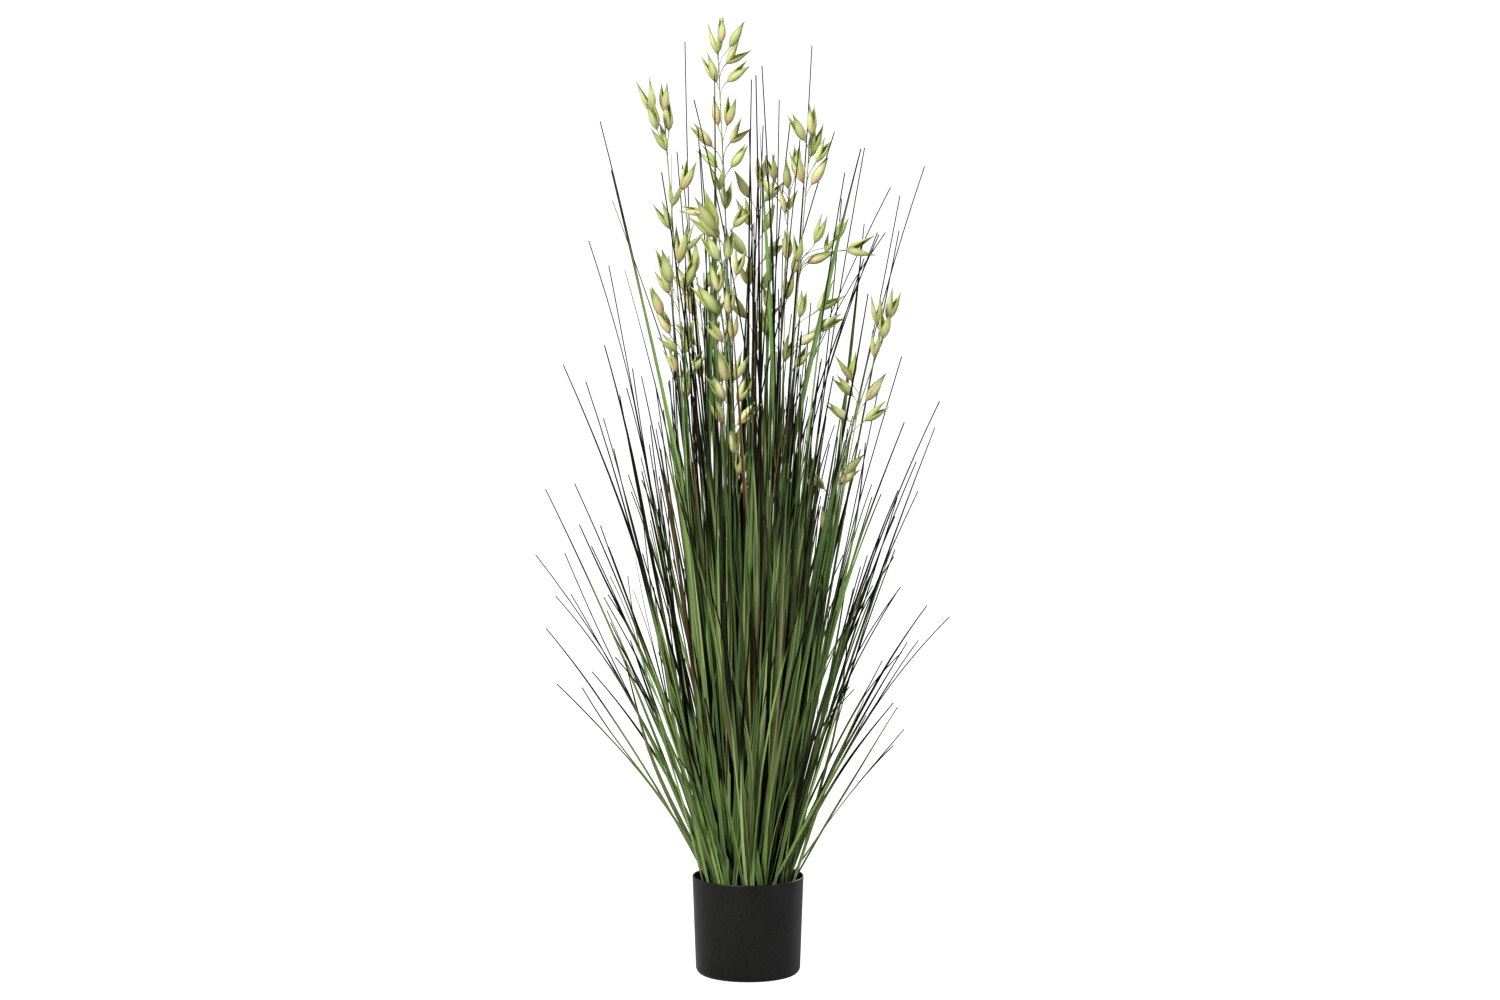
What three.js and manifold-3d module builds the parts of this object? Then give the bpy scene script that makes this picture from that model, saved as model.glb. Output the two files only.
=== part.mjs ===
// Potted oat grass: an artificial floor plant, 1.2 m tall. A black plastic pot is filled with cement, and
// tufts of long plastic grass blades and wire-stemmed sprays of oats stand in holes in the cement.
// Millimetres, +Z up. The origin is the centre of the pot's underside, and the front of the plant faces -Y.
import * as THREE from "three";
import { mergeVertices } from "three/addons/utils/BufferGeometryUtils.js";
import Module from "manifold-3d";

const wasm = await Module();
wasm.setup();

// Driving dimensions of the pot and its filling
const POT_HEIGHT = 125;
const POT_RIM_RADIUS = 70;
const POT_FOOT_RADIUS = 65.5;
const POT_WALL = 1.8;
const POT_FLOOR = 3;
const POT_FOOT_ROUND = 9;
const POT_SIDES = 32;
const RIM_BEVEL = 0.6;
const FILLING_TOP = 108;
const SEAT_GAP = 0.3;

// Driving dimensions of the plugs that tufts and sprays stand on, in rings round the middle of the pot
const PLUG_SIDES = 6;
const PLUG_DEPTH = 30;
const PLUG_STAND = 3;
const TUFT_PLUG_RADIUS = 7.5;
const SMALL_PLUG_RADIUS = 2.9;
const TUFT_PITCH = 20;
const AROUND_MIDDLE = 11.5;
const BETWEEN_RINGS = 32.2;

// Driving dimensions of the blades. The shares are the heights of a blade's rings, as parts of its height.
const BLADE_THICKNESS = 1.4;
const BLADE_SHARES = [0, 0.27, 0.54, 0.8, 1];
const HAIR_SHARES = [0, 0.34, 0.7, 1];
const HAIR_WIDTH = [2.4, 3.2];
const HAIR_FROM = 0.45;
const WIDEST_REACH = 252;
const ROOT_DEPTH = 2;

// Driving dimensions of the oats
const STEM_WIDTH = 3.4;
const STEM_TAPER = 0.35;
const STEM_SHARES = [0, 0.12, 0.3, 0.48, 0.63, 0.76, 0.88, 1];
const STEM_END = 4;
const STALK_RADIUS = [0.55, 0.9];
const STALK_DROP = [12, 30];
const GLUME_LENGTH = 31;
const GLUME_THICKNESS = 3.2;
const GLUME_KEEL = 3.6;
const BELLY_SHARE = 0.34;
const FORK_SHARE = 0.42;
const FORK_THICKNESS = 0.7;
const SPIKELET_REACH = 11;

// Space kept between the lines of two blades or stems, and the height step of that test. Blades of the
// outline may cross and fuse with others of their own tuft, so the room there is less than nothing.
const CLEARANCE = 0.9;
const CLEARANCE_IN_TUFT = 0.2;
const MAY_CROSS = -10;
const SLANT_ROOM = 1.05;
const LEVEL_STEP = 12;
const HIGHEST = 1200;
const MOST_TRIES = 120;

const DEGREE = Math.PI / 180;
const MERGED = 1e-4;

const COLOURS = {
  pot: { color: 0x262624, roughness: 0.42, metalness: 0 },
  filling: { color: 0x2b241d, roughness: 0.95, metalness: 0 },
  grass: { color: 0x4d6b2c, roughness: 0.5, metalness: 0 },
  russet: { color: 0x5a3526, roughness: 0.5, metalness: 0 },
  oats: { color: 0xb3bd68, roughness: 0.6, metalness: 0 },
};

// Numbers between low and high that look random, and are the same on every run
const STATES = 2 ** 32;

function draws(seed) {
  let state = seed >>> 0;
  const next = () => {
    state = (Math.imul(state, 1664525) + 1013904223) >>> 0;
    return state / STATES;
  };
  next();
  next();
  return ([low, high]) => low + (high - low) * next();
}

const onCircle = (radius, degrees) => [
  radius * Math.cos(degrees * DEGREE),
  radius * Math.sin(degrees * DEGREE),
];

// A point, moved by lengths along directions
function sum(start, ...moves) {
  return moves.reduce((place, [way, length]) => place.addScaledVector(way, length), start.clone());
}

// A closed surface as a solid that can be joined and cut
function solid(geometry) {
  const bare = geometry.clone();
  bare.deleteAttribute("normal");
  bare.deleteAttribute("uv");
  const merged = mergeVertices(bare, MERGED);
  return new wasm.Manifold(
    new wasm.Mesh({
      numProp: 3,
      vertProperties: new Float32Array(merged.attributes.position.array),
      triVerts: new Uint32Array(merged.index.array),
    }),
  );
}

function joined(solids) {
  return solids.reduce((whole, piece) => whole.add(piece));
}

// A solid as a named mesh of the object
function part(name, made, colour) {
  const { numProp, vertProperties, triVerts, numVert } = made.getMesh();
  const places = new Float32Array(numVert * 3);
  for (let i = 0; i < numVert; i++)
    places.set(vertProperties.subarray(i * numProp, i * numProp + 3), i * 3);
  const geometry = new THREE.BufferGeometry();
  geometry.setAttribute("position", new THREE.BufferAttribute(places, 3));
  geometry.setIndex(new THREE.BufferAttribute(triVerts, 1));
  geometry.computeVertexNormals();
  const mesh = new THREE.Mesh(
    geometry,
    new THREE.MeshStandardMaterial(COLOURS[colour]),
  );
  mesh.name = name;
  return mesh;
}

// Lines that blades and stems follow

// A line rises from its root to its tip. At the share s of its height, bow has bent it outwards and sway
// has moved it sideways. size(s) gives its width and thickness there.
function along(line, s) {
  const dx = line.tip[0] - line.root[0];
  const dy = line.tip[1] - line.root[1];
  const reach = s * (1 - line.bow + line.bow * s);
  const aside = (line.sway * Math.sin(Math.PI * s)) / Math.max(1, Math.hypot(dx, dy));
  return new THREE.Vector3(
    line.root[0] + dx * reach - dy * aside,
    line.root[1] + dy * reach + dx * aside,
    line.root[2] + (line.tip[2] - line.root[2]) * s,
  );
}

// Where the straight spans between a line's rings pass a height
function atHeight(line, z) {
  const s = (z - line.root[2]) / (line.tip[2] - line.root[2]);
  if (s < 0 || s > 1) return null;
  const above = Math.max(1, line.shares.findIndex((share) => share >= s));
  const [low, high] = [line.shares[above - 1], line.shares[above]];
  return along(line, low).lerp(along(line, high), (s - low) / (high - low));
}

// A tapering bar with its root at the line's root and its point at the line's tip. It faces the direction
// facing, turned by turn degrees on the way up.
const HALF_STEP = 0.02;
const CORNERS = { 3: [Math.sqrt(3), 1.5], 4: [Math.SQRT2, Math.SQRT2] };

function taperedBar(line, sides) {
  const spans = line.shares.length - 1;
  const cone = new THREE.ConeGeometry(1, 1, sides, spans);
  const places = cone.attributes.position;
  for (let i = 0; i < places.count; i++) {
    const ring = Math.round((places.getY(i) + 0.5) * spans);
    const s = line.shares[ring];
    const coneRadius = Math.max(MERGED, 1 - ring / spans);
    const [across, outwards] = [places.getX(i) / coneRadius, places.getZ(i) / coneRadius];
    const [width, thickness] = line.size(s);
    const tangent = along(line, s + HALF_STEP).sub(along(line, s - HALF_STEP)).normalize();
    const [faceX, faceY] = onCircle(1, line.facing + line.turn * s);
    const face = new THREE.Vector3(faceX, faceY, 0);
    face.addScaledVector(tangent, -face.dot(tangent)).normalize();
    const side = new THREE.Vector3().crossVectors(tangent, face);
    const place = sum(
      along(line, s),
      [side, (across * width) / CORNERS[sides][0]],
      [face, (outwards * thickness) / CORNERS[sides][1]],
    );
    places.setXYZ(i, place.x, place.y, place.z);
  }
  return solid(cone);
}

// The lines and spikelets that already stand, kept so that later blades grow clear of them
const standing = [];
const obstacles = [];

const levels = [];
for (let z = FILLING_TOP + PLUG_STAND; z < HIGHEST; z += LEVEL_STEP) {
  levels.push(z);
}

// The place and half width of a line at each level
function measured(line) {
  const height = line.tip[2] - line.root[2];
  return {
    line,
    places: levels.map((z) => {
      const place = atHeight(line, z);
      return place && [place.x, place.y, line.size((z - line.root[2]) / height)[0] / 2];
    }),
  };
}

function isClear(made) {
  const meetsLine = standing.some((other) => {
    const room = other.line.owner === made.line.owner ? made.line.roomInTuft : CLEARANCE;
    return made.places.some((here, k) => {
      const there = other.places[k];
      if (!here || !there) return false;
      const apart = Math.hypot(here[0] - there[0], here[1] - there[1]);
      return apart < (here[2] + there[2]) * SLANT_ROOM + room;
    });
  });
  if (meetsLine) return false;
  return !obstacles.some(([x, y, z, radius]) => {
    const place = atHeight(made.line, z);
    return place && Math.hypot(place.x - x, place.y - y) < radius + CLEARANCE;
  });
}

// Sprays of oats

// Each spray has a stem from a hole in the filling to its top, and spikelets. A spikelet is given as it is
// seen from the front: the height of its base, how far it stands to the right of the stem, the lean of its
// axis to the right, the angle that its two glumes open to, and its size.
const SPRAYS = [
  {
    root: [AROUND_MIDDLE, 150], tip: [-37, 16, 1150], bow: 0.75, sway: -4, depth: 1,
    spikelets: [
      [1152, -1, -6, 22, 1.05], [1166, 4, 0, 12, 0.85], [1161, 14, 30, 14, 0.95], [1140, 9, 44, 38, 1],
      [1118, 9, 49, 18, 0.95], [1117, -3, -24, 14, 1], [1064, -4, -9, 16, 0.95], [1064, 7, 10, 20, 1],
      [1042, 9, 40, 34, 0.9], [1038, -12, -43, 14, 1], [1012, 9, 35, 16, 0.9], [1012, -7, -43, 16, 0.9],
      [984, -6, -6, 28, 1], [960, 0, 3, 24, 0.95], [938, 9, 36, 30, 0.8], [925, -9, -30, 18, 0.9],
    ],
  },
  {
    root: [AROUND_MIDDLE, 270], tip: [-36, -46, 936], bow: 0.7, sway: 5, depth: -1,
    spikelets: [
      [936, -2, -24, 20, 1.4], [958, -18, -80, 22, 0.8], [929, -4, -46, 14, 1.1], [899, -2, -31, 16, 1.05],
      [900, 7, 5, 16, 1], [882, 17, 10, 20, 0.95], [860, -7, -3, 26, 1.05], [834, -8, -41, 14, 1.25],
      [834, 4, 3, 14, 0.95], [802, 6, 2, 16, 0.9], [800, -5, -40, 14, 0.9], [749, -5, -13, 12, 1.1],
      [751, 4, 23, 16, 1], [727, -8, -32, 16, 1.05], [723, 6, 26, 18, 1.1], [697, -12, -25, 12, 1],
      [697, 4, 44, 14, 1.05], [659, -3, 4, 26, 0.95], [634, 2, 8, 28, 0.9], [611, 3, 35, 22, 0.7],
    ],
  },
  {
    root: [BETWEEN_RINGS, 191.9], tip: [-102, -28, 1066], bow: 0.1, sway: -6, depth: -1,
    spikelets: [
      [1080, -16, -15, 22, 1.15], [1082, -2, 1, 12, 0.95], [1060, -10, -14, 16, 1], [1058, 4, -5, 16, 1],
      [1034, 0, -25, 22, 0.9], [986, 15, 18, 20, 1.05], [965, 1, 8, 26, 0.9], [938, -3, -25, 18, 1],
      [895, 4, 4, 16, 1.25], [910, 10, 35, 26, 0.95], [870, -7, -19, 14, 1.25], [857, -11, -27, 12, 0.9],
      [866, 10, 18, 14, 1.05], [830, -21, -22, 18, 1.05], [807, -14, -24, 22, 1], [786, -6, -45, 12, 0.85],
      [782, 2, 10, 16, 1.2], [760, -8, -27, 12, 0.85], [761, 7, 37, 16, 0.85], [728, 2, -6, 14, 1],
    ],
  },
  {
    root: [AROUND_MIDDLE, 330], tip: [77, -18, 1052], bow: 0.2, sway: 3, depth: 1,
    spikelets: [
      [1046, -6, -30, 16, 1], [1052, 1, 2, 12, 1], [1026, 2, 15, 14, 1.15], [1020, 9, 27, 16, 0.9],
      [994, -4, -18, 12, 1.1], [992, 6, 30, 16, 1.05], [920, 16, 19, 10, 1], [922, 40, 27, 12, 0.9],
      [912, 54, 80, 38, 1.05], [908, 30, 22, 24, 0.7], [896, 8, 70, 16, 1], [897, -3, 0, 16, 0.95],
      [836, 26, 45, 38, 1.1], [812, 22, 63, 14, 1.1], [794, 8, 52, 14, 0.85], [827, 5, 10, 18, 0.9],
      [767, 3, 36, 20, 0.8],
    ],
  },
  {
    root: [AROUND_MIDDLE, 30], tip: [52, 26, 988], bow: 0.35, sway: -3, depth: -1,
    spikelets: [
      [1002, 7, 4, 12, 1], [986, -2, -4, 20, 0.95], [955, -4, 8, 46, 0.9], [976, -17, -42, 12, 0.85],
      [996, -18, -14, 16, 0.9], [896, 2, 0, 22, 1], [880, 10, 14, 14, 0.9], [848, 4, 6, 16, 1],
      [832, -16, -8, 14, 0.95], [806, -20, -12, 14, 0.95], [770, 5, 16, 16, 0.9],
    ],
  },
  {
    root: [BETWEEN_RINGS, 348.1], tip: [168, -14, 806], bow: 0.85, sway: 2, depth: 1,
    spikelets: [
      [818, -6, -4, 16, 1], [824, 6, 18, 18, 1.05], [802, 0, 6, 24, 1], [778, -2, 5, 16, 0.9],
      [749, -20, -12, 46, 1], [731, -12, -43, 14, 0.9], [723, 7, 36, 12, 1.1], [701, -8, -52, 12, 0.9],
      [699, 12, 53, 14, 0.95], [631, 6, 46, 16, 0.95], [622, 2, 56, 16, 0.85], [613, -12, -44, 14, 0.85],
      [560, 1, 6, 22, 0.9],
    ],
  },
  {
    root: [AROUND_MIDDLE, 90], tip: [12, 84, 985], bow: 0.55, sway: 4, depth: 1,
    spikelets: [
      [990, 3, 4, 18, 1], [972, -10, -28, 16, 1], [968, 10, 34, 18, 0.95], [936, -8, -18, 22, 1],
      [930, 9, 22, 16, 1], [900, -11, -38, 14, 1.05], [895, 11, 44, 20, 0.95], [862, -6, -12, 24, 1.1],
      [856, 9, 26, 16, 1], [822, -10, -34, 18, 0.95], [816, 10, 40, 14, 0.9], [778, 3, 8, 22, 0.9],
    ],
  },
  {
    root: [BETWEEN_RINGS, 131.9], tip: [-64, 98, 872], bow: 0.6, sway: -5, depth: 1,
    spikelets: [
      [876, -3, -8, 20, 1.05], [858, 9, 24, 16, 0.95], [852, -11, -36, 18, 1], [822, -8, -20, 22, 1.05],
      [816, 9, 30, 14, 1], [786, -11, -42, 14, 0.95], [780, 8, 16, 20, 1], [746, -7, -16, 18, 0.95],
      [738, 9, 38, 16, 0.9], [704, 2, 6, 24, 0.9],
    ],
  },
];

const DEPTH_STEP = 2.4;

// The stem's line, and where each spikelet and its stalk are. The spikelets stand round the stem, so each has
// another depth than the one before.
function sprayLines(spray, number) {
  const stem = {
    ...spray,
    owner: `oat_spray_${number}`,
    root: [...onCircle(...spray.root), FILLING_TOP + PLUG_STAND - ROOT_DEPTH],
    shares: STEM_SHARES,
    facing: 270,
    turn: 0,
    size: (s) => [STEM_WIDTH * (1 - STEM_TAPER * s), STEM_WIDTH * (1 - STEM_TAPER * s)],
  };
  const stemAt = (z) => atHeight(stem, Math.min(z, stem.tip[2] - STEM_END));
  const spikelets = spray.spikelets.map(([z, right, lean, opening, size], i) => {
    const turn = Math.sin(DEPTH_STEP * i + number);
    const depth = spray.depth * SPIKELET_REACH * turn;
    const beside = stemAt(z);
    const base = new THREE.Vector3(beside.x + right, beside.y + depth, z);
    const drop = Math.min(STALK_DROP[1], STALK_DROP[0] + Math.abs(right) + Math.abs(depth));
    return { base, from: stemAt(z - drop), lean, opening, size, back: spray.depth * turn };
  });
  return { stem, spikelets };
}

// The direction of a spikelet's axis, and the direction in which its glumes open
const BACK_LEAN = 0.25;
const TWIST = 0.5;

function spikeletFrame({ lean, back }) {
  const axis = new THREE.Vector3(
    Math.sin(lean * DEGREE),
    BACK_LEAN * back,
    Math.cos(lean * DEGREE),
  ).normalize();
  const opens = new THREE.Vector3(0, 1, 0).cross(axis).normalize();
  opens.applyAxisAngle(axis, TWIST * Math.sign(back));
  return { axis, opens };
}

// A spikelet and its stalk in one piece. A four-sided rod has rings at the stem, at the spikelet's base and
// at the bellies of the two glumes. Its top ring has two corners drawn up to the glumes' points, and the
// other two and the middle stay down, where the glumes part.
function spikelet(made) {
  const { axis, opens } = spikeletFrame(made);
  const hinge = new THREE.Vector3().crossVectors(opens, axis);
  const stalk = made.base.clone().sub(made.from).normalize();
  const stalkOpens = opens.clone().addScaledVector(stalk, -opens.dot(stalk)).normalize();
  const stalkHinge = new THREE.Vector3().crossVectors(stalkOpens, stalk);
  const half = made.opening * 0.5 * DEGREE;
  const length = GLUME_LENGTH * made.size;
  const belly = BELLY_SHARE * length;
  const keel = belly * Math.tan(half) + GLUME_KEEL * made.size;
  const thick = GLUME_THICKNESS * made.size;
  const [thin, full] = STALK_RADIUS;
  const rings = [
    (x, z) => sum(made.from, [stalkOpens, x * thin], [stalkHinge, z * thin]),
    (x, z) => sum(made.base, [stalkOpens, x * full], [stalkHinge, z * full]),
    (x, z) => sum(made.base, [axis, belly], [opens, x * keel], [hinge, z * thick]),
    (x, z) =>
      Math.abs(x) > 0.5
        ? sum(made.base, [axis, length * Math.cos(half)], [opens, x * length * Math.sin(half)])
        : sum(made.base, [axis, length * FORK_SHARE], [hinge, z * thick * FORK_THICKNESS]),
  ];
  const rod = new THREE.CylinderGeometry(1, 1, 1, 4, rings.length - 1);
  const places = rod.attributes.position;
  for (let i = 0; i < places.count; i++) {
    const ring = Math.round((places.getY(i) + 0.5) * (rings.length - 1));
    const place = rings[ring](places.getX(i), places.getZ(i));
    places.setXYZ(i, place.x, place.y, place.z);
  }
  return solid(rod);
}

// The room that a spikelet and its stalk take, as discs at a few heights
const SPIKELET_DISCS = [0.1, 0.45, 0.8];
const STALK_DISCS = [0.15, 0.5, 0.85];
const SPIKELET_ROOM = 4.6;
const STALK_ROOM = 3;

function keepClearOf(made) {
  const { axis } = spikeletFrame(made);
  const length = GLUME_LENGTH * made.size;
  for (const share of SPIKELET_DISCS) {
    const place = sum(made.base, [axis, length * share]);
    const opened = Math.tan(made.opening * 0.5 * DEGREE) * length * share;
    obstacles.push([...place.toArray(), SPIKELET_ROOM * made.size + opened]);
  }
  for (const share of STALK_DISCS) {
    const place = made.from.clone().lerp(made.base, share);
    obstacles.push([...place.toArray(), STALK_ROOM]);
  }
}

function oatSpray(spray, number) {
  const { stem, spikelets } = sprayLines(spray, number);
  standing.push(measured(stem));
  spikelets.forEach(keepClearOf);
  return joined([plug(spray.root, SMALL_PLUG_RADIUS), taperedBar(stem, 4), ...spikelets.map(spikelet)]);
}

// Tufts of grass

// The tufts stand in rings of 1, 6 and 12, and the small russet tufts between the outer two rings
const tufts = [{ name: "grass_tuft_1", ring: 0, place: [0, 0] }];
for (const ring of [1, 2]) {
  for (let i = 0; i < 6 * ring; i++) {
    const place = [TUFT_PITCH * ring, (60 / ring) * i];
    tufts.push({ name: `grass_tuft_${tufts.length + 1}`, ring, place });
  }
}
const russetTufts = [48.1, 108.1, 168.1, 228.1, 288.1].map((direction, i) => ({
  name: `russet_tuft_${i + 1}`,
  ring: "russet",
  place: [BETWEEN_RINGS, direction],
}));

// What the blades of a ring do: the middle, the gain towards the outside and the scatter of the tips'
// height and reach, how far they fan to the sides, their width, and how many there are
const RINGS = {
  0: { height: [960, 0, 170], reach: [48, 0, 26], fan: 180, width: [4.6, 6.2], count: 11 },
  1: { height: [850, -90, 190], reach: [88, 34, 30], fan: 30, width: [4.6, 6.4], count: 12 },
  2: { height: [640, -190, 150], reach: [150, 62, 26], fan: 15, width: [4, 5.8], count: 13 },
  russet: { height: [800, 0, 170], reach: [80, 0, 45], fan: 32, width: [3.4, 4.6], count: 4 },
};
// Long thin blades that stand out of the outline: the tips' place to the right, to the back and up
const OUTLINE_TIPS = [
  [-183, 10, 1070], [-186, -20, 925], [-230, 20, 769], [-200, -40, 752], [-175, 30, 791], [-152, -30, 762],
  [-249, 15, 615], [-216, -50, 625], [-246, -25, 542], [-231, 45, 485], [-249, -10, 443], [-215, 60, 560],
  [-93, 35, 1168], [-60, -30, 1062], [4, 30, 1060], [28, -12, 1139], [44, 40, 1068], [82, 8, 1163],
  [112, -30, 1010], [137, 12, 1038], [213, 20, 1015], [188, 45, 932], [150, -45, 860], [186, 30, 776],
  [235, -8, 727], [236, 50, 686], [213, -40, 648], [200, 25, 611], [180, -60, 500], [222, 40, 464],
  [252, -12, 452], [184, 70, 410],
];

const BOWS = [0.12, 0.6];
const SWAYS = [-11, 11];
const FACINGS = [-50, 50];
const TURNS = [-70, 70];

// A blade is narrow where it leaves the plug, widest at a sixth of its height, and runs to a point
const bladeTaper = (s) => Math.min(0.62 + 1.9 * s, 1.15 - 1.12 * s);

function bladeLine(tuft, slot, tip, hair, draw) {
  const centre = onCircle(...tuft.place);
  const offset = onCircle(...slot);
  const [x, y] = [centre[0] + offset[0], centre[1] + offset[1]];
  const width = draw(hair ? HAIR_WIDTH : RINGS[tuft.ring].width);
  return {
    owner: tuft.name,
    root: [x, y, FILLING_TOP + PLUG_STAND - ROOT_DEPTH],
    tip,
    bow: draw(BOWS),
    sway: draw(SWAYS),
    shares: hair ? HAIR_SHARES : BLADE_SHARES,
    facing: Math.atan2(tip[1] - y, tip[0] - x) / DEGREE + draw(FACINGS),
    turn: draw(TURNS),
    roomInTuft: CLEARANCE_IN_TUFT,
    size: (s) => [width * bladeTaper(s), BLADE_THICKNESS * (1 - 0.5 * s)],
  };
}

// Draws one blade after another until one stands clear of the rest. After too many tries its place stays
// empty. Each blade and each try has a seed of its own.
const BLADE_SEEDS = 40503;
const TRY_SEEDS = 9176;
const grown = [];

function growClear(number, drawn) {
  for (let tries = 0; tries < MOST_TRIES; tries++) {
    const line = drawn(draws(number * BLADE_SEEDS + tries * TRY_SEEDS));
    const made = measured(line);
    if (isClear(made)) {
      standing.push(made);
      grown.push(line);
      return;
    }
  }
}

// The blades of a tuft leave its plug in an outer ring and an inner ring of slots
const OUTER_SLOTS = { share: 0.66, radius: 5.4 };
const INNER_SLOTS = { radius: 2.4, offset: 20 };
const RUSSET_SLOTS = { share: 1, radius: 1.7 };

function slotOf(ring, i, count) {
  const { share, radius } = ring === "russet" ? RUSSET_SLOTS : OUTER_SLOTS;
  const outer = Math.ceil(count * share);
  if (i < outer) return [radius, (360 * (i + 0.5)) / outer];
  return [INNER_SLOTS.radius, (360 * (i - outer)) / (count - outer) + INNER_SLOTS.offset];
}

// How far a blade's direction strays from the one that its slot gives it
const MIDDLE_STRAY = [-25, 25];
const STRAY = [-9, 9];

function growTuft(tuft, first) {
  const { height, reach, fan, count } = RINGS[tuft.ring];
  const scattered = ([middle, gain, scatter], outward, draw) =>
    middle + gain * outward + draw([-scatter, scatter]);
  for (let i = 0; i < count; i++) {
    const slot = slotOf(tuft.ring, i, count);
    const away = tuft.ring === 0 ? slot[1] : tuft.place[1];
    const outward = Math.cos((slot[1] - away) * DEGREE);
    const sideways = Math.sin((slot[1] - away) * DEGREE);
    const hair = tuft.ring === 2 && outward > HAIR_FROM;
    growClear(first + i, (draw) => {
      const tipHeight = scattered(height, outward, draw);
      const tipReach = Math.min(scattered(reach, outward, draw), WIDEST_REACH);
      const direction = away + fan * sideways + draw(tuft.ring === 0 ? MIDDLE_STRAY : STRAY);
      return bladeLine(tuft, slot, [...onCircle(tipReach, direction), tipHeight], hair, draw);
    });
  }
}

// An outline blade grows from the outer edge of the tuft that stands nearest to its own direction
const OUTLINE_SEED = 1000;
const OUTLINE_SLOT = 6;
const OUTLINE_STRAY = [-75, 75];
const DEPTH_STRAY = [-40, 40];
const INNER_RING_FROM = 1000;

function growOutline() {
  OUTLINE_TIPS.forEach(([x, y, z], i) => {
    const direction = Math.atan2(y, x) / DEGREE;
    const ring = z > INNER_RING_FROM ? 1 : 2;
    const nth = Math.round((direction * ring) / 60 + 6 * ring) % (6 * ring);
    const tuft = tufts.filter((each) => each.ring === ring)[nth];
    growClear(OUTLINE_SEED + i, (draw) => {
      const slot = [OUTLINE_SLOT, direction + draw(OUTLINE_STRAY)];
      const line = bladeLine(tuft, slot, [x, y + draw(DEPTH_STRAY), z], true, draw);
      return { ...line, roomInTuft: MAY_CROSS };
    });
  });
}

function plug(place, radius) {
  const length = PLUG_DEPTH + PLUG_STAND;
  const rod = new THREE.CylinderGeometry(radius, radius, length, PLUG_SIDES);
  rod.rotateX(Math.PI / 2);
  const [x, y] = onCircle(...place);
  rod.translate(x, y, FILLING_TOP + PLUG_STAND - length / 2);
  return solid(rod);
}

function grassTuft(tuft, radius) {
  const blades = grown.filter((line) => line.owner === tuft.name);
  return joined([plug(tuft.place, radius), ...blades.map((line) => taperedBar(line, 3))]);
}

// Pot and filling

function turned(profile) {
  const points = profile.map(([r, z]) => new THREE.Vector2(r, z));
  const lathe = new THREE.LatheGeometry(points, POT_SIDES);
  lathe.rotateX(Math.PI / 2);
  return solid(lathe);
}

const outerRadius = (z) => POT_FOOT_RADIUS + ((POT_RIM_RADIUS - POT_FOOT_RADIUS) * z) / POT_HEIGHT;

// The rounded lower edge of the pot, as points from the underside up to the wall
function footArc(inset, round, floor) {
  const radius = outerRadius(POT_FOOT_ROUND) - inset;
  return [0, 45, 90].map((degrees) => [
    radius - round + round * Math.sin(degrees * DEGREE),
    floor + round - round * Math.cos(degrees * DEGREE),
  ]);
}

function pot() {
  const inside = POT_RIM_RADIUS - POT_WALL;
  return turned([
    [0, 0],
    ...footArc(0, POT_FOOT_ROUND, 0),
    [POT_RIM_RADIUS, POT_HEIGHT - RIM_BEVEL],
    [POT_RIM_RADIUS - RIM_BEVEL, POT_HEIGHT],
    [inside + RIM_BEVEL, POT_HEIGHT],
    [inside, POT_HEIGHT - RIM_BEVEL],
    ...footArc(POT_WALL, POT_FOOT_ROUND - POT_WALL, POT_FLOOR).reverse(),
    [0, POT_FLOOR],
  ]);
}

function fillingBlock() {
  const inset = POT_WALL + SEAT_GAP;
  return turned([
    [0, POT_FLOOR + SEAT_GAP],
    ...footArc(inset, POT_FOOT_ROUND - POT_WALL, POT_FLOOR + SEAT_GAP),
    [outerRadius(FILLING_TOP) - inset, FILLING_TOP],
    [0, FILLING_TOP],
  ]);
}

// A hole has the plug's shape, with the seat's gap all round it
const CUT_ABOVE = 1;

function hole(place, plugRadius) {
  const radius = plugRadius + SEAT_GAP / Math.cos(Math.PI / PLUG_SIDES);
  const depth = PLUG_DEPTH + SEAT_GAP + CUT_ABOVE;
  const bore = new THREE.CylinderGeometry(radius, radius, depth, PLUG_SIDES);
  bore.rotateX(Math.PI / 2);
  const [x, y] = onCircle(...place);
  bore.translate(x, y, FILLING_TOP + CUT_ABOVE - depth / 2);
  return solid(bore);
}

function filling() {
  const holes = [
    ...tufts.map((tuft) => hole(tuft.place, TUFT_PLUG_RADIUS)),
    ...russetTufts.map((tuft) => hole(tuft.place, SMALL_PLUG_RADIUS)),
    ...SPRAYS.map((spray) => hole(spray.root, SMALL_PLUG_RADIUS)),
  ];
  return holes.reduce((rest, bore) => rest.subtract(bore), fillingBlock());
}

// The whole plant. The sprays stand first, then the blades of the outline grow, and the tufts round them.
const plant = new THREE.Group();
SPRAYS.forEach((spray, i) => {
  plant.add(part(`oat_spray_${i + 1}`, oatSpray(spray, i + 1), "oats"));
});

const RUSSET_SEED = 2000;
const TUFT_SEEDS = 20;
growOutline();
russetTufts.forEach((tuft, i) => growTuft(tuft, RUSSET_SEED + TUFT_SEEDS * i));
tufts.forEach((tuft, i) => growTuft(tuft, TUFT_SEEDS * i));

tufts.forEach((tuft) => {
  plant.add(part(tuft.name, grassTuft(tuft, TUFT_PLUG_RADIUS), "grass"));
});
russetTufts.forEach((tuft) => {
  plant.add(part(tuft.name, grassTuft(tuft, SMALL_PLUG_RADIUS), "russet"));
});
plant.add(part("cement_filling", filling(), "filling"));
plant.add(part("pot", pot(), "pot"));

export default plant;
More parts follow.
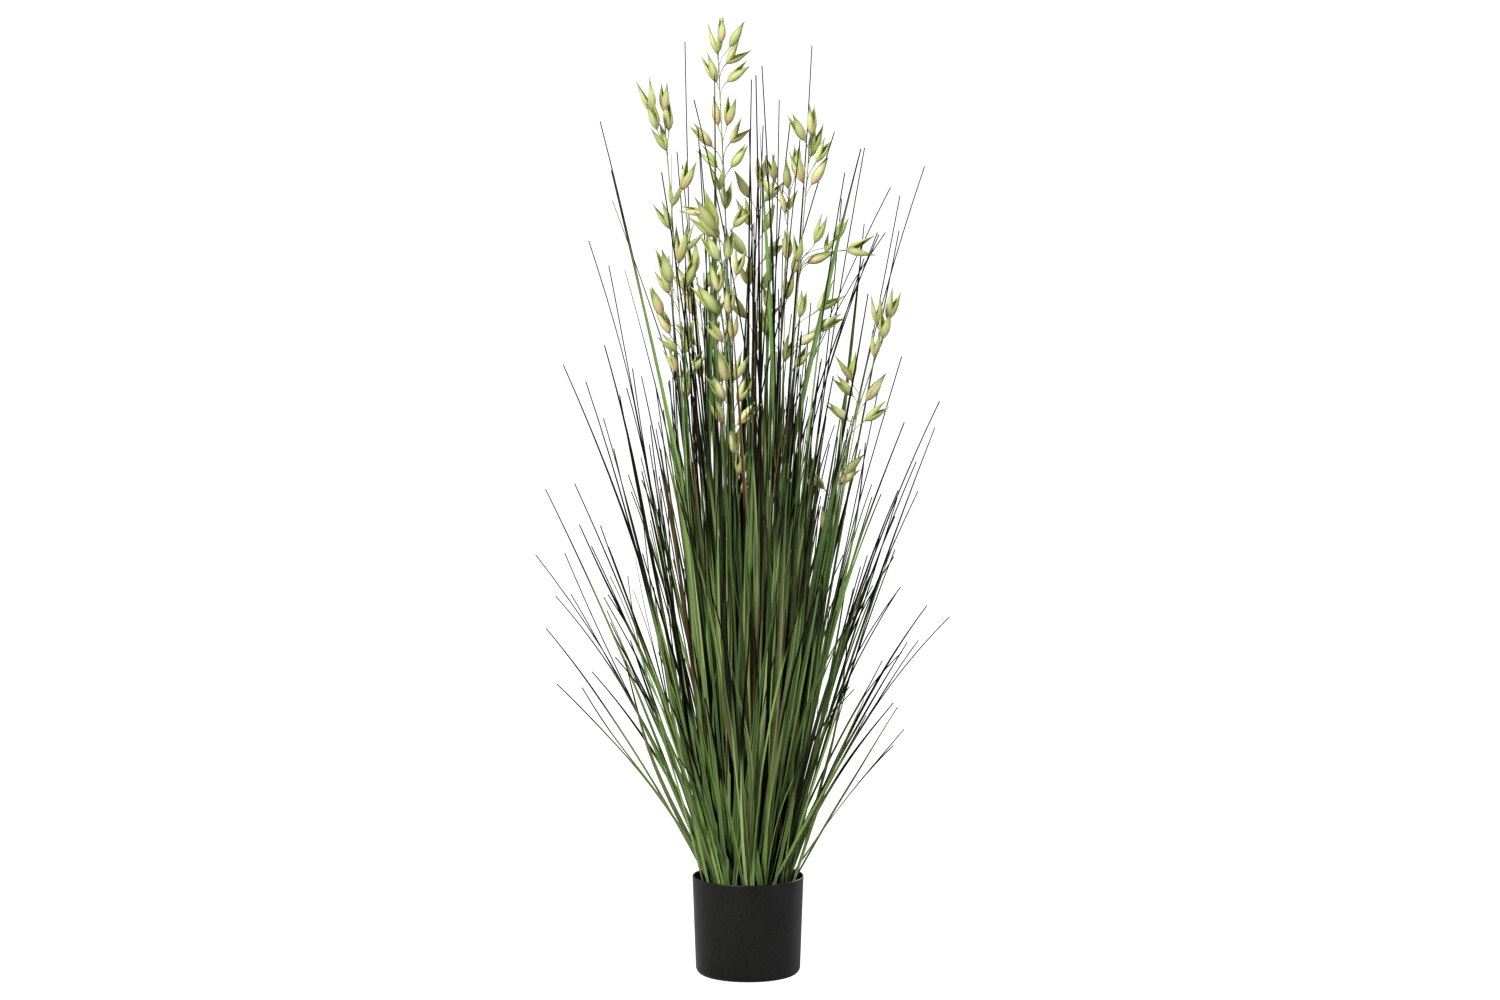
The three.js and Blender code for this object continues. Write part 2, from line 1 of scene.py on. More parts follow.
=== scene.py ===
# %% [markdown]
# # Potted oat grass
# The object is an artificial floor plant, 1.2 m tall. A small black pot is filled with cement, and tufts of
# long plastic blades and wire sprays of oats stand in holes in the cement.
#
# The imported parts give every piece its place and size. This lesson lays the real surfaces over them: blades
# that are slit into fine hairs, oats with thin cupped husks, a moulded pot and rough cement. It starts with
# the parts.

# %% Open the parts
import math
from dataclasses import dataclass, replace

import bmesh
import bpy
import numpy as np
from mathutils import Matrix, Vector


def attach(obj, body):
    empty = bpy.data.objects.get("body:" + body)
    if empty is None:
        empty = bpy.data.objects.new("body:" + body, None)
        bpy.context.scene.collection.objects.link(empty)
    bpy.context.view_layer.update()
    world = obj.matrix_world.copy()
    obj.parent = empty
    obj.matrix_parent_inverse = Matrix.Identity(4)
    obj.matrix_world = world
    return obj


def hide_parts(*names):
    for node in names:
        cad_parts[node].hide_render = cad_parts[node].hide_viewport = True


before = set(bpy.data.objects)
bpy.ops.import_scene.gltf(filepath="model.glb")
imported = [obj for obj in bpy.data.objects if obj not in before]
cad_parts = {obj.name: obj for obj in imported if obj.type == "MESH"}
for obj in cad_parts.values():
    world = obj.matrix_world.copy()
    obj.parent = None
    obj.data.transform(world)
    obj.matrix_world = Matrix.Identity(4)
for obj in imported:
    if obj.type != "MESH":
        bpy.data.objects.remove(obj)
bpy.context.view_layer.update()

MM = 0.001

# %% [markdown]
# ## The view
# The photograph was taken from some metres away, at the height of the plant's top. The front edge of the rim
# shows a little lower than its ends, because the camera stands above it. A long lens from that distance
# keeps the pot and the tips at nearly one scale, as they are in the photograph.

# %% Set up the camera
CAMERA_PLACE = (0.0025, -5.5, 1.2)
CAMERA_DOWN = 6.23
LENS = 106.5
SENSOR_WIDTH = 36

camera_data = bpy.data.cameras.new("camera")
camera_data.lens = LENS
camera_data.sensor_width = SENSOR_WIDTH
camera = bpy.data.objects.new("camera", camera_data)
camera.location = CAMERA_PLACE
camera.rotation_euler = (math.radians(90 - CAMERA_DOWN), 0, 0)
bpy.context.scene.collection.objects.link(camera)
bpy.context.scene.camera = camera
print("camera at", CAMERA_PLACE, "looking down by", CAMERA_DOWN, "degrees")

# %% [markdown]
# ## Helpers for materials
# The light and every finish here are small trees of nodes. A few helpers make a node and its links in one
# line. Two patterns come back in most finishes, so each is a node group with named sockets. "drawn streaks"
# are the fine lines that plastic gets where it is drawn or rolled along its length: noise on the surface's
# own map, stretched many times. "mottle" is the soft cloudiness of moulded or dusty surfaces, on object
# coordinates.

# %% Make node helpers
def paint(red, green, blue):
    """A colour as the eye reads it, 0 to 255, turned by the sRGB curve into the light that a shader uses."""
    linear = [((c / 255 + 0.055) / 1.055) ** 2.4 if c > 10 else c / 255 / 12.92 for c in (red, green, blue)]
    return (*linear, 1)


def grey(level):
    return (level, level, level, 1)


def feed(tree, made, inputs):
    """Gives a node its inputs, as values or as other nodes' outputs."""
    for name, value in dict(inputs).items():
        if isinstance(value, bpy.types.NodeSocket):
            tree.links.new(value, made.inputs[name])
        else:
            made.inputs[name].default_value = value


def node(tree, kind, inputs=(), **settings):
    """A new node, with its settings and its inputs."""
    made = tree.nodes.new("ShaderNode" + kind)
    for name, value in settings.items():
        setattr(made, name, value)
    feed(tree, made, inputs)
    return made


def sums(tree, operation, *values):
    """A math node's result. The values are numbers or outputs."""
    return node(tree, "Math", enumerate(values), operation=operation).outputs[0]


def blended(tree, share, first, second, most=None):
    """Two colours, mixed by a share. most scales the share down, for a second colour that is only a tint."""
    if most is not None:
        share = sums(tree, "MULTIPLY", share, most)
    return node(tree, "Mix", {0: share, 6: first, 7: second}, data_type="RGBA").outputs[2]


def eased(tree, value, low, high):
    """0 at low, 1 at high, smooth between and level past them. Either of the two may be the larger."""
    inputs = {"Value": value, "From Min": low, "From Max": high}
    return node(tree, "MapRange", inputs, interpolation_type="SMOOTHSTEP").outputs["Result"]


def ramp(tree, share, *stops):
    """A colour ramp with evenly spaced stops."""
    made = node(tree, "ValToRGB", {"Fac": share})
    marks = made.color_ramp.elements
    while len(marks) < len(stops):
        marks.new(1)
    for i, colour in enumerate(stops):
        marks[i].position = i / (len(stops) - 1)
        marks[i].color = colour
    return made.outputs["Color"]


def new_pattern(name, inputs):
    """A node group with named inputs and a mask as its output, what it is given, and its result's socket."""
    tree = bpy.data.node_groups.new(name, "ShaderNodeTree")
    for socket, kind in inputs.items():
        tree.interface.new_socket(socket, in_out="INPUT", socket_type="NodeSocket" + kind)
    tree.interface.new_socket("Mask", in_out="OUTPUT", socket_type="NodeSocketFloat")
    return tree, tree.nodes.new("NodeGroupInput").outputs, tree.nodes.new("NodeGroupOutput").inputs["Mask"]


def new_material(name):
    """A material with only its Principled shader and output, and their tree."""
    material = bpy.data.materials.new(name)
    material.use_nodes = True
    tree = material.node_tree
    return material, tree, tree.nodes["Principled BSDF"]


# %% Make the two shared patterns
SHIFT_REACH = 60


def make_streaks():
    inputs = {"Map": "Vector", "Shift": "Float", "Across": "Float", "Along": "Float"}
    tree, given, result = new_pattern("drawn streaks", inputs)
    scale = node(tree, "CombineXYZ", {"X": given["Across"], "Y": given["Along"]})
    spread = node(tree, "VectorMath", {0: given["Map"], 1: scale.outputs[0]}, operation="MULTIPLY")
    shift = node(tree, "CombineXYZ", {"Z": sums(tree, "MULTIPLY", given["Shift"], SHIFT_REACH)})
    place = node(tree, "VectorMath", {0: spread.outputs[0], 1: shift.outputs[0]}, operation="ADD")
    noise = node(tree, "TexNoise", {"Vector": place.outputs[0], "Scale": 1, "Detail": 2})
    tree.links.new(eased(tree, noise.outputs[0], 0.34, 0.66), result)
    return tree


def make_mottle():
    tree, given, result = new_pattern("mottle", {"Place": "Vector", "Scale": "Float"})
    inputs = {"Vector": given["Place"], "Scale": given["Scale"], "Detail": 5, "Roughness": 0.6}
    noise = node(tree, "TexNoise", inputs)
    tree.links.new(eased(tree, noise.outputs[0], 0.36, 0.64), result)
    return tree


streaks_group = make_streaks()
mottle_group = make_mottle()


def streaks(tree, across, along, shift):
    """The streaks on the surface's own map. Another shift gives other streaks."""
    place = node(tree, "TexCoord").outputs["UV"]
    inputs = {"Map": place, "Shift": shift, "Across": across, "Along": along}
    return node(tree, "Group", inputs, node_tree=streaks_group).outputs["Mask"]


def mottle(tree, scale):
    """The mottle, at a scale of so many patches a metre."""
    place = node(tree, "TexCoord").outputs["Object"]
    return node(tree, "Group", {"Place": place, "Scale": scale}, node_tree=mottle_group).outputs["Mask"]


def four_numbers(tree, name):
    """The four numbers that the points of blades and oats carry, as outputs."""
    held = node(tree, "Attribute", attribute_name=name)
    parts = node(tree, "SeparateColor", {"Color": held.outputs["Color"]})
    return (*parts.outputs, held.outputs["Alpha"])


def bumped(tree, height, strength, distance):
    """A normal that makes a height from 0 to 1 stand out by a distance in metres."""
    return node(tree, "Bump", {"Height": height, "Strength": strength, "Distance": distance}).outputs[0]


print("node groups:", streaks_group.name, "and", mottle_group.name)

# %% [markdown]
# ## Light
# The plant stands on white. Light comes from above and behind, where a studio has its white backdrop, and is
# much weaker from the camera's side. That keeps the floor white and the front of the black pot black, with
# lighter edges. A strong lamp at the upper left models the blades, and a wide weak one fills from the right.
# A third one behind lights the far side and the right edges. Towards the camera the backdrop is plain white.

# %% Light the studio
BRIGHT_SIDE = (-0.45, 0.4, 0.8)
WORLD_LIGHT = {"From Min": -0.4, "From Max": 1, "To Min": 0.07, "To Max": 0.9}
LAMPS = {
    "window": {"place": (-2.0, -2.9, 3.0), "power": 270, "size": 1.2},
    "fill": {"place": (3.2, -1.6, 1.7), "power": 45, "size": 2.0},
    "back": {"place": (2.4, 2.8, 2.0), "power": 110, "size": 1.6},
}
AIM = Vector((0, 0, 0.6))

scene = bpy.context.scene
scene.view_settings.view_transform = "Standard"
scene.view_settings.look = "Medium High Contrast"
world = bpy.data.worlds.new("studio")
scene.world = world
world.use_nodes = True
sky = world.node_tree
direction = node(sky, "TexCoord").outputs["Generated"]
towards = node(sky, "VectorMath", {0: direction, 1: BRIGHT_SIDE}, operation="DOT_PRODUCT")
given = node(sky, "MapRange", {"Value": towards.outputs["Value"], **WORLD_LIGHT})
seen = node(sky, "LightPath").outputs["Is Camera Ray"]
strength = node(sky, "MapRange", {"Value": seen, "To Min": given.outputs["Result"], "To Max": 1})
feed(sky, sky.nodes["Background"], {"Color": grey(1), "Strength": strength.outputs["Result"]})

for name, lamp in LAMPS.items():
    data = bpy.data.lights.new(name, "AREA")
    data.energy = lamp["power"]
    data.size = lamp["size"]
    light = bpy.data.objects.new(name, data)
    light.location = lamp["place"]
    light.rotation_euler = (AIM - light.location).to_track_quat("-Z", "Y").to_euler()
    scene.collection.objects.link(light)
print("lamps:", ", ".join(LAMPS))

# %% [markdown]
# ## Helpers for pieces
# A piece is one mesh in the parts' own frame, so its object stays at the origin, unturned. A bmesh is filled
# by operators, turned into a mesh once, and the object then rides on the plant's one body and hides the
# part that it stands for.

# %% Make piece helpers
def add_object(name, sheet, material):
    """An object made of a bmesh, with its material."""
    mesh = bpy.data.meshes.new(name)
    sheet.to_mesh(mesh)
    sheet.free()
    mesh.materials.append(material)
    made = bpy.data.objects.new(name, mesh)
    scene.collection.objects.link(made)
    return made


def add_piece(name, sheet, material, slot, part):
    """A finished piece of the plant, which stands for one of its parts."""
    piece = add_object(name, sheet, material)
    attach(piece, "root")
    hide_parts(part)
    return piece


def smooth(faces):
    for face in faces:
        face.smooth = True


def turned_profile(sheet, points, steps):
    """Spins a profile of (radius, height) points in millimetres round the pot's axis."""
    line = [sheet.verts.new((radius * MM, 0, height * MM)) for radius, height in points]
    edges = [sheet.edges.new(pair) for pair in zip(line, line[1:])]
    turn = {"cent": (0, 0, 0), "axis": (0, 0, 1), "angle": math.tau, "steps": steps, "use_merge": True}
    bmesh.ops.spin(sheet, geom=line + edges, **turn)
    bmesh.ops.remove_doubles(sheet, verts=sheet.verts[:], dist=1e-6)
    bmesh.ops.recalc_face_normals(sheet, faces=sheet.faces[:])


def triangles(piece):
    return sum(len(face.vertices) - 2 for face in piece.data.polygons)


# %% [markdown]
# ## The floor
# A plane is enough for a floor. Its material is pale, with a trace of mottle so that it isn't perfectly
# even. It stands for the lit table that such photographs are taken on, so towards the camera it mostly
# glows, and is as white as the backdrop but no brighter. Otherwise the finest hairs would be lost in front
# of it. To the plant it gives back a third of its light. It is wide enough to run on until it meets the
# backdrop's white.

# %% Lay the floor
FLOOR_HALF = 40
TABLE_GLOW = 0.9
TABLE_TONES = (0.1, 0.12)
TABLE_BOUNCE = 0.35


def make_floor():
    material, tree, shader = new_material("pale floor")
    tone = blended(tree, mottle(tree, 3), *map(grey, TABLE_TONES))
    seen = node(tree, "LightPath").outputs["Is Camera Ray"]
    feed(tree, shader, {
        "Base Color": blended(tree, seen, grey(TABLE_BOUNCE), tone),
        "Emission Strength": sums(tree, "MULTIPLY", seen, TABLE_GLOW),
        "Emission Color": grey(1),
        "Roughness": 0.9,
        "Specular IOR Level": 0,
    })
    sheet = bmesh.new()
    bmesh.ops.create_grid(sheet, x_segments=1, y_segments=1, size=FLOOR_HALF)
    floor = add_object("floor", sheet, material)
    return floor


print("floor:", make_floor().dimensions.x, "m wide")

# %% [markdown]
# ## The pot
# The pot is injection moulded in black plastic: one thin wall of even thickness, a plain rim and a round
# lower edge. A cylinder with loop cuts could make it, but a profile that is spun round the axis gives the
# wall, the rim and the inside in one closed surface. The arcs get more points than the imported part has.

# %% Spin the pot
POT_HEIGHT = 125
RIM_RADIUS = 70
FOOT_RADIUS = 65.5
WALL = 1.8
POT_FLOOR = 3
FOOT_ROUND = 9
ARC_STEPS = 8
POT_STEPS = 128


def outer_radius(height):
    return FOOT_RADIUS + (RIM_RADIUS - FOOT_RADIUS) * height / POT_HEIGHT


def arc(centre, radius, start, end, steps=ARC_STEPS):
    """Points on an arc of (radius, height), from one direction in degrees to another."""
    turns = [math.radians(start + (end - start) * i / steps) for i in range(steps + 1)]
    return [(centre[0] + radius * math.cos(t), centre[1] + radius * math.sin(t)) for t in turns]


def wall_rise(inset, low, high, steps=6):
    """Points up a tapering wall, so that its faces stay nearly square."""
    heights = [low + (high - low) * i / steps for i in range(1, steps)]
    return [(outer_radius(z) - inset, z) for z in heights]


def spin_pot(sheet):
    foot = outer_radius(FOOT_ROUND) - FOOT_ROUND
    rim = WALL / 2
    inner_round = FOOT_ROUND - WALL
    inner_floor = POT_FLOOR + inner_round
    profile = [(0, 0), (foot / 2, 0)]
    profile += arc((foot, FOOT_ROUND), FOOT_ROUND, -90, 0)
    profile += wall_rise(0, FOOT_ROUND, POT_HEIGHT - rim)
    profile += arc((RIM_RADIUS - rim, POT_HEIGHT - rim), rim, 0, 180)
    profile += wall_rise(WALL, POT_HEIGHT - rim, inner_floor)
    profile += arc((outer_radius(inner_floor) - WALL - inner_round, inner_floor), inner_round, 0, -90)
    profile += [(foot / 2, POT_FLOOR), (0, POT_FLOOR)]
    turned_profile(sheet, profile, POT_STEPS)
    smooth(sheet.faces)


# %% [markdown]
# The plastic is nearly black with a satin surface. Real mouldings are never quite even: the gloss varies in
# soft patches, a fine grain from the mould breaks up reflections, and a little dust settles on it.

# %% Make the black plastic
def make_black_plastic():
    material, tree, shader = new_material("satin black plastic")
    clouds, dust = mottle(tree, 22), mottle(tree, 260)
    colour = blended(tree, clouds, paint(10, 10, 9), paint(15, 15, 14))
    place = node(tree, "TexCoord").outputs["Object"]
    grain = node(tree, "TexNoise", {"Vector": place, "Scale": 1400, "Detail": 2}).outputs[0]
    feed(tree, shader, {
        "Base Color": blended(tree, dust, colour, paint(88, 86, 80), most=0.04),
        "Roughness": sums(tree, "MULTIPLY_ADD", clouds, 0.08, 0.36),
        "Normal": bumped(tree, grain, strength=0.25, distance=0.0002),
        "Specular IOR Level": 0.34,
    })
    return material


pot_sheet = bmesh.new()
spin_pot(pot_sheet)
pot = add_piece("moulded_pot", pot_sheet, make_black_plastic(), "pot_plastic", "pot")
print(pot.name, triangles(pot), "triangles")

# %% [markdown]
# ## The cement
# A cast weight fills the pot to a little below its rim. It was poured, so its top is level but uneven, with
# lumps and small pits, and it has dried dark. One spun profile is enough for it: it goes up the side and
# then inwards in many rings. The rings' points are lifted a little by waves, so the lumps are real shapes.

# %% Cast the cement
FILLING_TOP = 108
SEAT_GAP = 0.3
CEMENT_RINGS = 26
CEMENT_LIFT = 1.1
EDGE_HEIGHT = 1
EDGE_WIDTH = 0.6


def lumps(place):
    """A height from -1 to 1 that rolls over the cement's top, in broad lumps of 30 mm and fine ones of 7."""
    x, y = place.x / MM, place.y / MM
    broad = math.sin(x * 0.21 + 1.3 * math.sin(y * 0.13)) * math.cos(y * 0.19 + math.sin(x * 0.17))
    fine = math.sin(x * 0.83 + 2 * math.sin(y * 0.57)) * math.sin(y * 0.91 + 2 * math.cos(x * 0.49))
    return 0.6 * broad + 0.4 * fine


def cast_cement(sheet):
    inset = WALL + SEAT_GAP
    bottom = POT_FLOOR + SEAT_GAP
    inner_round = FOOT_ROUND - WALL
    edge = outer_radius(FILLING_TOP) - inset
    foot_centre = (outer_radius(FOOT_ROUND) - inset - inner_round, bottom + inner_round)
    profile = [(0, bottom)] + arc(foot_centre, inner_round, -90, 0)
    profile += [(edge, FILLING_TOP - EDGE_HEIGHT)]
    top = edge - EDGE_WIDTH
    profile += [(top * i / CEMENT_RINGS, FILLING_TOP) for i in range(CEMENT_RINGS, -1, -1)]
    turned_profile(sheet, profile, POT_STEPS)
    for vert in sheet.verts:
        if vert.co.z > (FILLING_TOP - EDGE_HEIGHT / 2) * MM:
            vert.co.z += CEMENT_LIFT * lumps(vert.co) * MM
    smooth(sheet.faces)


# %% Make the cement's finish
def make_cement():
    material, tree, shader = new_material("dark rough cement")
    clouds, grit = mottle(tree, 60), mottle(tree, 900)
    stained = blended(tree, clouds, paint(44, 38, 31), paint(64, 56, 46))
    feed(tree, shader, {
        "Base Color": blended(tree, grit, stained, paint(86, 78, 66), most=0.5),
        "Normal": bumped(tree, grit, strength=0.7, distance=0.0006),
        "Roughness": 0.93,
    })
    return material


cement_sheet = bmesh.new()
cast_cement(cement_sheet)
cement = add_piece("cast_cement", cement_sheet, make_cement(), "cement", "cement_filling")
print(cement.name, triangles(cement), "triangles")

# %% [markdown]
# ## Where everything grows
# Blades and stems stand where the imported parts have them. The parts were planted by a rule with seeded
# draws, so the same rule is run again here, in millimetres. A line rises from its root to its tip, bends
# outwards by its bow and sideways by its sway. This way the fine blades follow the solid ones exactly, with
# no list of points to copy.

# %% Draw numbers that are the same on every run
STATES = 2**32
STATE_FACTOR = 1664525
STATE_STEP = 1013904223


def draws(seed):
    """A function that gives numbers between low and high that look random."""
    state = seed

    def step():
        nonlocal state
        state = (state * STATE_FACTOR + STATE_STEP) % STATES
        return state / STATES

    step()
    step()
    return lambda low, high: low + (high - low) * step()


def on_circle(radius, degrees):
    return radius * math.cos(math.radians(degrees)), radius * math.sin(math.radians(degrees))


# %% Describe a line
@dataclass(frozen=True)
class Line:
    """A blade or a stem: its part, its two ends, its bends, its rings' heights, and how wide it is.

    A blade also faces one way at its root and turns from there, and may be of a slender or a broad kind.
    """

    owner: str
    root: tuple
    tip: tuple
    bow: float
    sway: float
    shares: tuple
    width: float
    taper: callable
    facing: float = 270
    turn: float = 0
    room_in_tuft: float = 0.2
    slender: bool = False
    broad: bool = False


def along(line, share):
    """The point at a share of a line's height, or the points at an array of shares."""
    dx = line.tip[0] - line.root[0]
    dy = line.tip[1] - line.root[1]
    reach = share * (1 - line.bow + line.bow * share)
    aside = line.sway * np.sin(np.pi * share) / max(1, math.hypot(dx, dy))
    return (
        line.root[0] + dx * reach - dy * aside,
        line.root[1] + dy * reach + dx * aside,
        line.root[2] + (line.tip[2] - line.root[2]) * share,
    )


def at_heights(line, heights):
    """Where the straight spans between a line's rings pass some heights. Past its ends it is nowhere."""
    share = (heights - line.root[2]) / (line.tip[2] - line.root[2])
    inside = np.where((share >= 0) & (share <= 1), share, np.nan)
    x, y, _ = along(line, np.array(line.shares))
    return np.interp(inside, line.shares, x), np.interp(inside, line.shares, y), share


# %% Keep blades clear of each other
PLUG_STAND = 3
ROOT_DEPTH = 2
ROOT_HEIGHT = FILLING_TOP + PLUG_STAND - ROOT_DEPTH
CLEARANCE = 0.9
SLANT_ROOM = 1.05
HIGHEST_LEVEL = 1200
LEVEL_STEP = 12
LEVELS = np.arange(FILLING_TOP + PLUG_STAND, HIGHEST_LEVEL, LEVEL_STEP)

standing = []
owners = []
obstacles = []


def measured(line):
    """A line's place and half width at each level."""
    x, y, share = at_heights(line, LEVELS)
    half = np.array([line.width * line.taper(s) / 2 for s in share])
    return np.array([x, y, half])


def stand(line):
    """Adds a line to those that stand."""
    standing.append(measured(line))
    owners.append(line.owner)


def clear_of_oats(line):
    taken = np.array(obstacles)
    x, y, _ = at_heights(line, taken[:, 2])
    return not (np.hypot(taken[:, 0] - x, taken[:, 1] - y) < taken[:, 3] + CLEARANCE).any()


def clear_of_lines(line):
    x, y, half = measured(line)
    taken = np.array(standing)
    apart = np.hypot(taken[:, 0] - x, taken[:, 1] - y)
    own = np.array(owners) == line.owner
    room = np.where(own, line.room_in_tuft, CLEARANCE)[:, None]
    return not (apart < (taken[:, 2] + half) * SLANT_ROOM + room).any()


# %% [markdown]
# ## The sprays' plan
# Each spray is a wire stem with stalks and spikelets. Its spikelets are placed as the photograph shows them
# from the front: the height of the base, how far it stands to the right of the stem, how far it leans to the
# right, how wide its two husks open, and its size. Their depth goes round the stem from one to the next. The
# last two sprays stand behind, where the photograph shows none, and are like the others.

# %% Plan the sprays
@dataclass(frozen=True)
class Spray:
    """A spray: its stem's root, tip, bow and sway, which side its depths start on, and its spikelets."""

    root: tuple
    tip: tuple
    bow: float
    sway: float
    side: int
    spikelets: list


AROUND_MIDDLE = 11.5
BETWEEN_RINGS = 32.2
SPRAYS = [
    Spray((AROUND_MIDDLE, 150), (-37, 16, 1150), 0.75, -4, 1, [
        (1152, -1, -6, 22, 1.05), (1166, 4, 0, 12, 0.85), (1161, 14, 30, 14, 0.95), (1140, 9, 44, 38, 1),
        (1118, 9, 49, 18, 0.95), (1117, -3, -24, 14, 1), (1064, -4, -9, 16, 0.95), (1064, 7, 10, 20, 1),
        (1042, 9, 40, 34, 0.9), (1038, -12, -43, 14, 1), (1012, 9, 35, 16, 0.9), (1012, -7, -43, 16, 0.9),
        (984, -6, -6, 28, 1), (960, 0, 3, 24, 0.95), (938, 9, 36, 30, 0.8), (925, -9, -30, 18, 0.9),
    ]),
    Spray((AROUND_MIDDLE, 270), (-36, -46, 936), 0.7, 5, -1, [
        (936, -2, -24, 20, 1.4), (958, -18, -80, 22, 0.8), (929, -4, -46, 14, 1.1),
        (899, -2, -31, 16, 1.05), (900, 7, 5, 16, 1), (882, 17, 10, 20, 0.95), (860, -7, -3, 26, 1.05),
        (834, -8, -41, 14, 1.25), (834, 4, 3, 14, 0.95), (802, 6, 2, 16, 0.9), (800, -5, -40, 14, 0.9),
        (749, -5, -13, 12, 1.1), (751, 4, 23, 16, 1), (727, -8, -32, 16, 1.05), (723, 6, 26, 18, 1.1),
        (697, -12, -25, 12, 1), (697, 4, 44, 14, 1.05), (659, -3, 4, 26, 0.95), (634, 2, 8, 28, 0.9),
        (611, 3, 35, 22, 0.7),
    ]),
    Spray((BETWEEN_RINGS, 191.9), (-102, -28, 1066), 0.1, -6, -1, [
        (1080, -16, -15, 22, 1.15), (1082, -2, 1, 12, 0.95), (1060, -10, -14, 16, 1), (1058, 4, -5, 16, 1),
        (1034, 0, -25, 22, 0.9), (986, 15, 18, 20, 1.05), (965, 1, 8, 26, 0.9), (938, -3, -25, 18, 1),
        (895, 4, 4, 16, 1.25), (910, 10, 35, 26, 0.95), (870, -7, -19, 14, 1.25), (857, -11, -27, 12, 0.9),
        (866, 10, 18, 14, 1.05), (830, -21, -22, 18, 1.05), (807, -14, -24, 22, 1),
        (786, -6, -45, 12, 0.85), (782, 2, 10, 16, 1.2), (760, -8, -27, 12, 0.85), (761, 7, 37, 16, 0.85),
        (728, 2, -6, 14, 1),
    ]),
    Spray((AROUND_MIDDLE, 330), (77, -18, 1052), 0.2, 3, 1, [
        (1046, -6, -30, 16, 1), (1052, 1, 2, 12, 1), (1026, 2, 15, 14, 1.15), (1020, 9, 27, 16, 0.9),
        (994, -4, -18, 12, 1.1), (992, 6, 30, 16, 1.05), (920, 16, 19, 10, 1), (922, 40, 27, 12, 0.9),
        (912, 54, 80, 38, 1.05), (908, 30, 22, 24, 0.7), (896, 8, 70, 16, 1), (897, -3, 0, 16, 0.95),
        (836, 26, 45, 38, 1.1), (812, 22, 63, 14, 1.1), (794, 8, 52, 14, 0.85), (827, 5, 10, 18, 0.9),
        (767, 3, 36, 20, 0.8),
    ]),
    Spray((AROUND_MIDDLE, 30), (52, 26, 988), 0.35, -3, -1, [
        (1002, 7, 4, 12, 1), (986, -2, -4, 20, 0.95), (955, -4, 8, 46, 0.9), (976, -17, -42, 12, 0.85),
        (996, -18, -14, 16, 0.9), (896, 2, 0, 22, 1), (880, 10, 14, 14, 0.9), (848, 4, 6, 16, 1),
        (832, -16, -8, 14, 0.95), (806, -20, -12, 14, 0.95), (770, 5, 16, 16, 0.9),
    ]),
    Spray((BETWEEN_RINGS, 348.1), (168, -14, 806), 0.85, 2, 1, [
        (818, -6, -4, 16, 1), (824, 6, 18, 18, 1.05), (802, 0, 6, 24, 1), (778, -2, 5, 16, 0.9),
        (749, -20, -12, 46, 1), (731, -12, -43, 14, 0.9), (723, 7, 36, 12, 1.1), (701, -8, -52, 12, 0.9),
        (699, 12, 53, 14, 0.95), (631, 6, 46, 16, 0.95), (622, 2, 56, 16, 0.85), (613, -12, -44, 14, 0.85),
        (560, 1, 6, 22, 0.9),
    ]),
    Spray((AROUND_MIDDLE, 90), (12, 84, 985), 0.55, 4, 1, [
        (990, 3, 4, 18, 1), (972, -10, -28, 16, 1), (968, 10, 34, 18, 0.95), (936, -8, -18, 22, 1),
        (930, 9, 22, 16, 1), (900, -11, -38, 14, 1.05), (895, 11, 44, 20, 0.95), (862, -6, -12, 24, 1.1),
        (856, 9, 26, 16, 1), (822, -10, -34, 18, 0.95), (816, 10, 40, 14, 0.9), (778, 3, 8, 22, 0.9),
    ]),
    Spray((BETWEEN_RINGS, 131.9), (-64, 98, 872), 0.6, -5, 1, [
        (876, -3, -8, 20, 1.05), (858, 9, 24, 16, 0.95), (852, -11, -36, 18, 1), (822, -8, -20, 22, 1.05),
        (816, 9, 30, 14, 1), (786, -11, -42, 14, 0.95), (780, 8, 16, 20, 1), (746, -7, -16, 18, 0.95),
        (738, 9, 38, 16, 0.9), (704, 2, 6, 24, 0.9),
    ]),
]

# %% Work out each spikelet's place
STEM_WIDTH = 3.4
STEM_TAPER = 0.35
STEM_SHARES = (0, 0.12, 0.3, 0.48, 0.63, 0.76, 0.88, 1)
STEM_END = 4
STALK_DROP = (12, 30)
SPIKELET_REACH = 11
DEPTH_STEP = 2.4
BACK_LEAN = 0.25
TWIST = 0.5
HUSK_LENGTH = 31


@dataclass(frozen=True)
class Spikelet:
    """A spikelet: where its stalk leaves the stem, its base, its own directions, opening and length."""

    stalk_share: float
    base: Vector
    axis: Vector
    opens: Vector
    half_opening: float
    size: float


def stem_taper(share):
    return 1 - STEM_TAPER * share


def stem_line(spray, number):
    root = (*on_circle(*spray.root), ROOT_HEIGHT)
    bends = {"tip": spray.tip, "bow": spray.bow, "sway": spray.sway, "shares": STEM_SHARES}
    return Line(owner=f"oat_spray_{number}", root=root, **bends, width=STEM_WIDTH, taper=stem_taper)


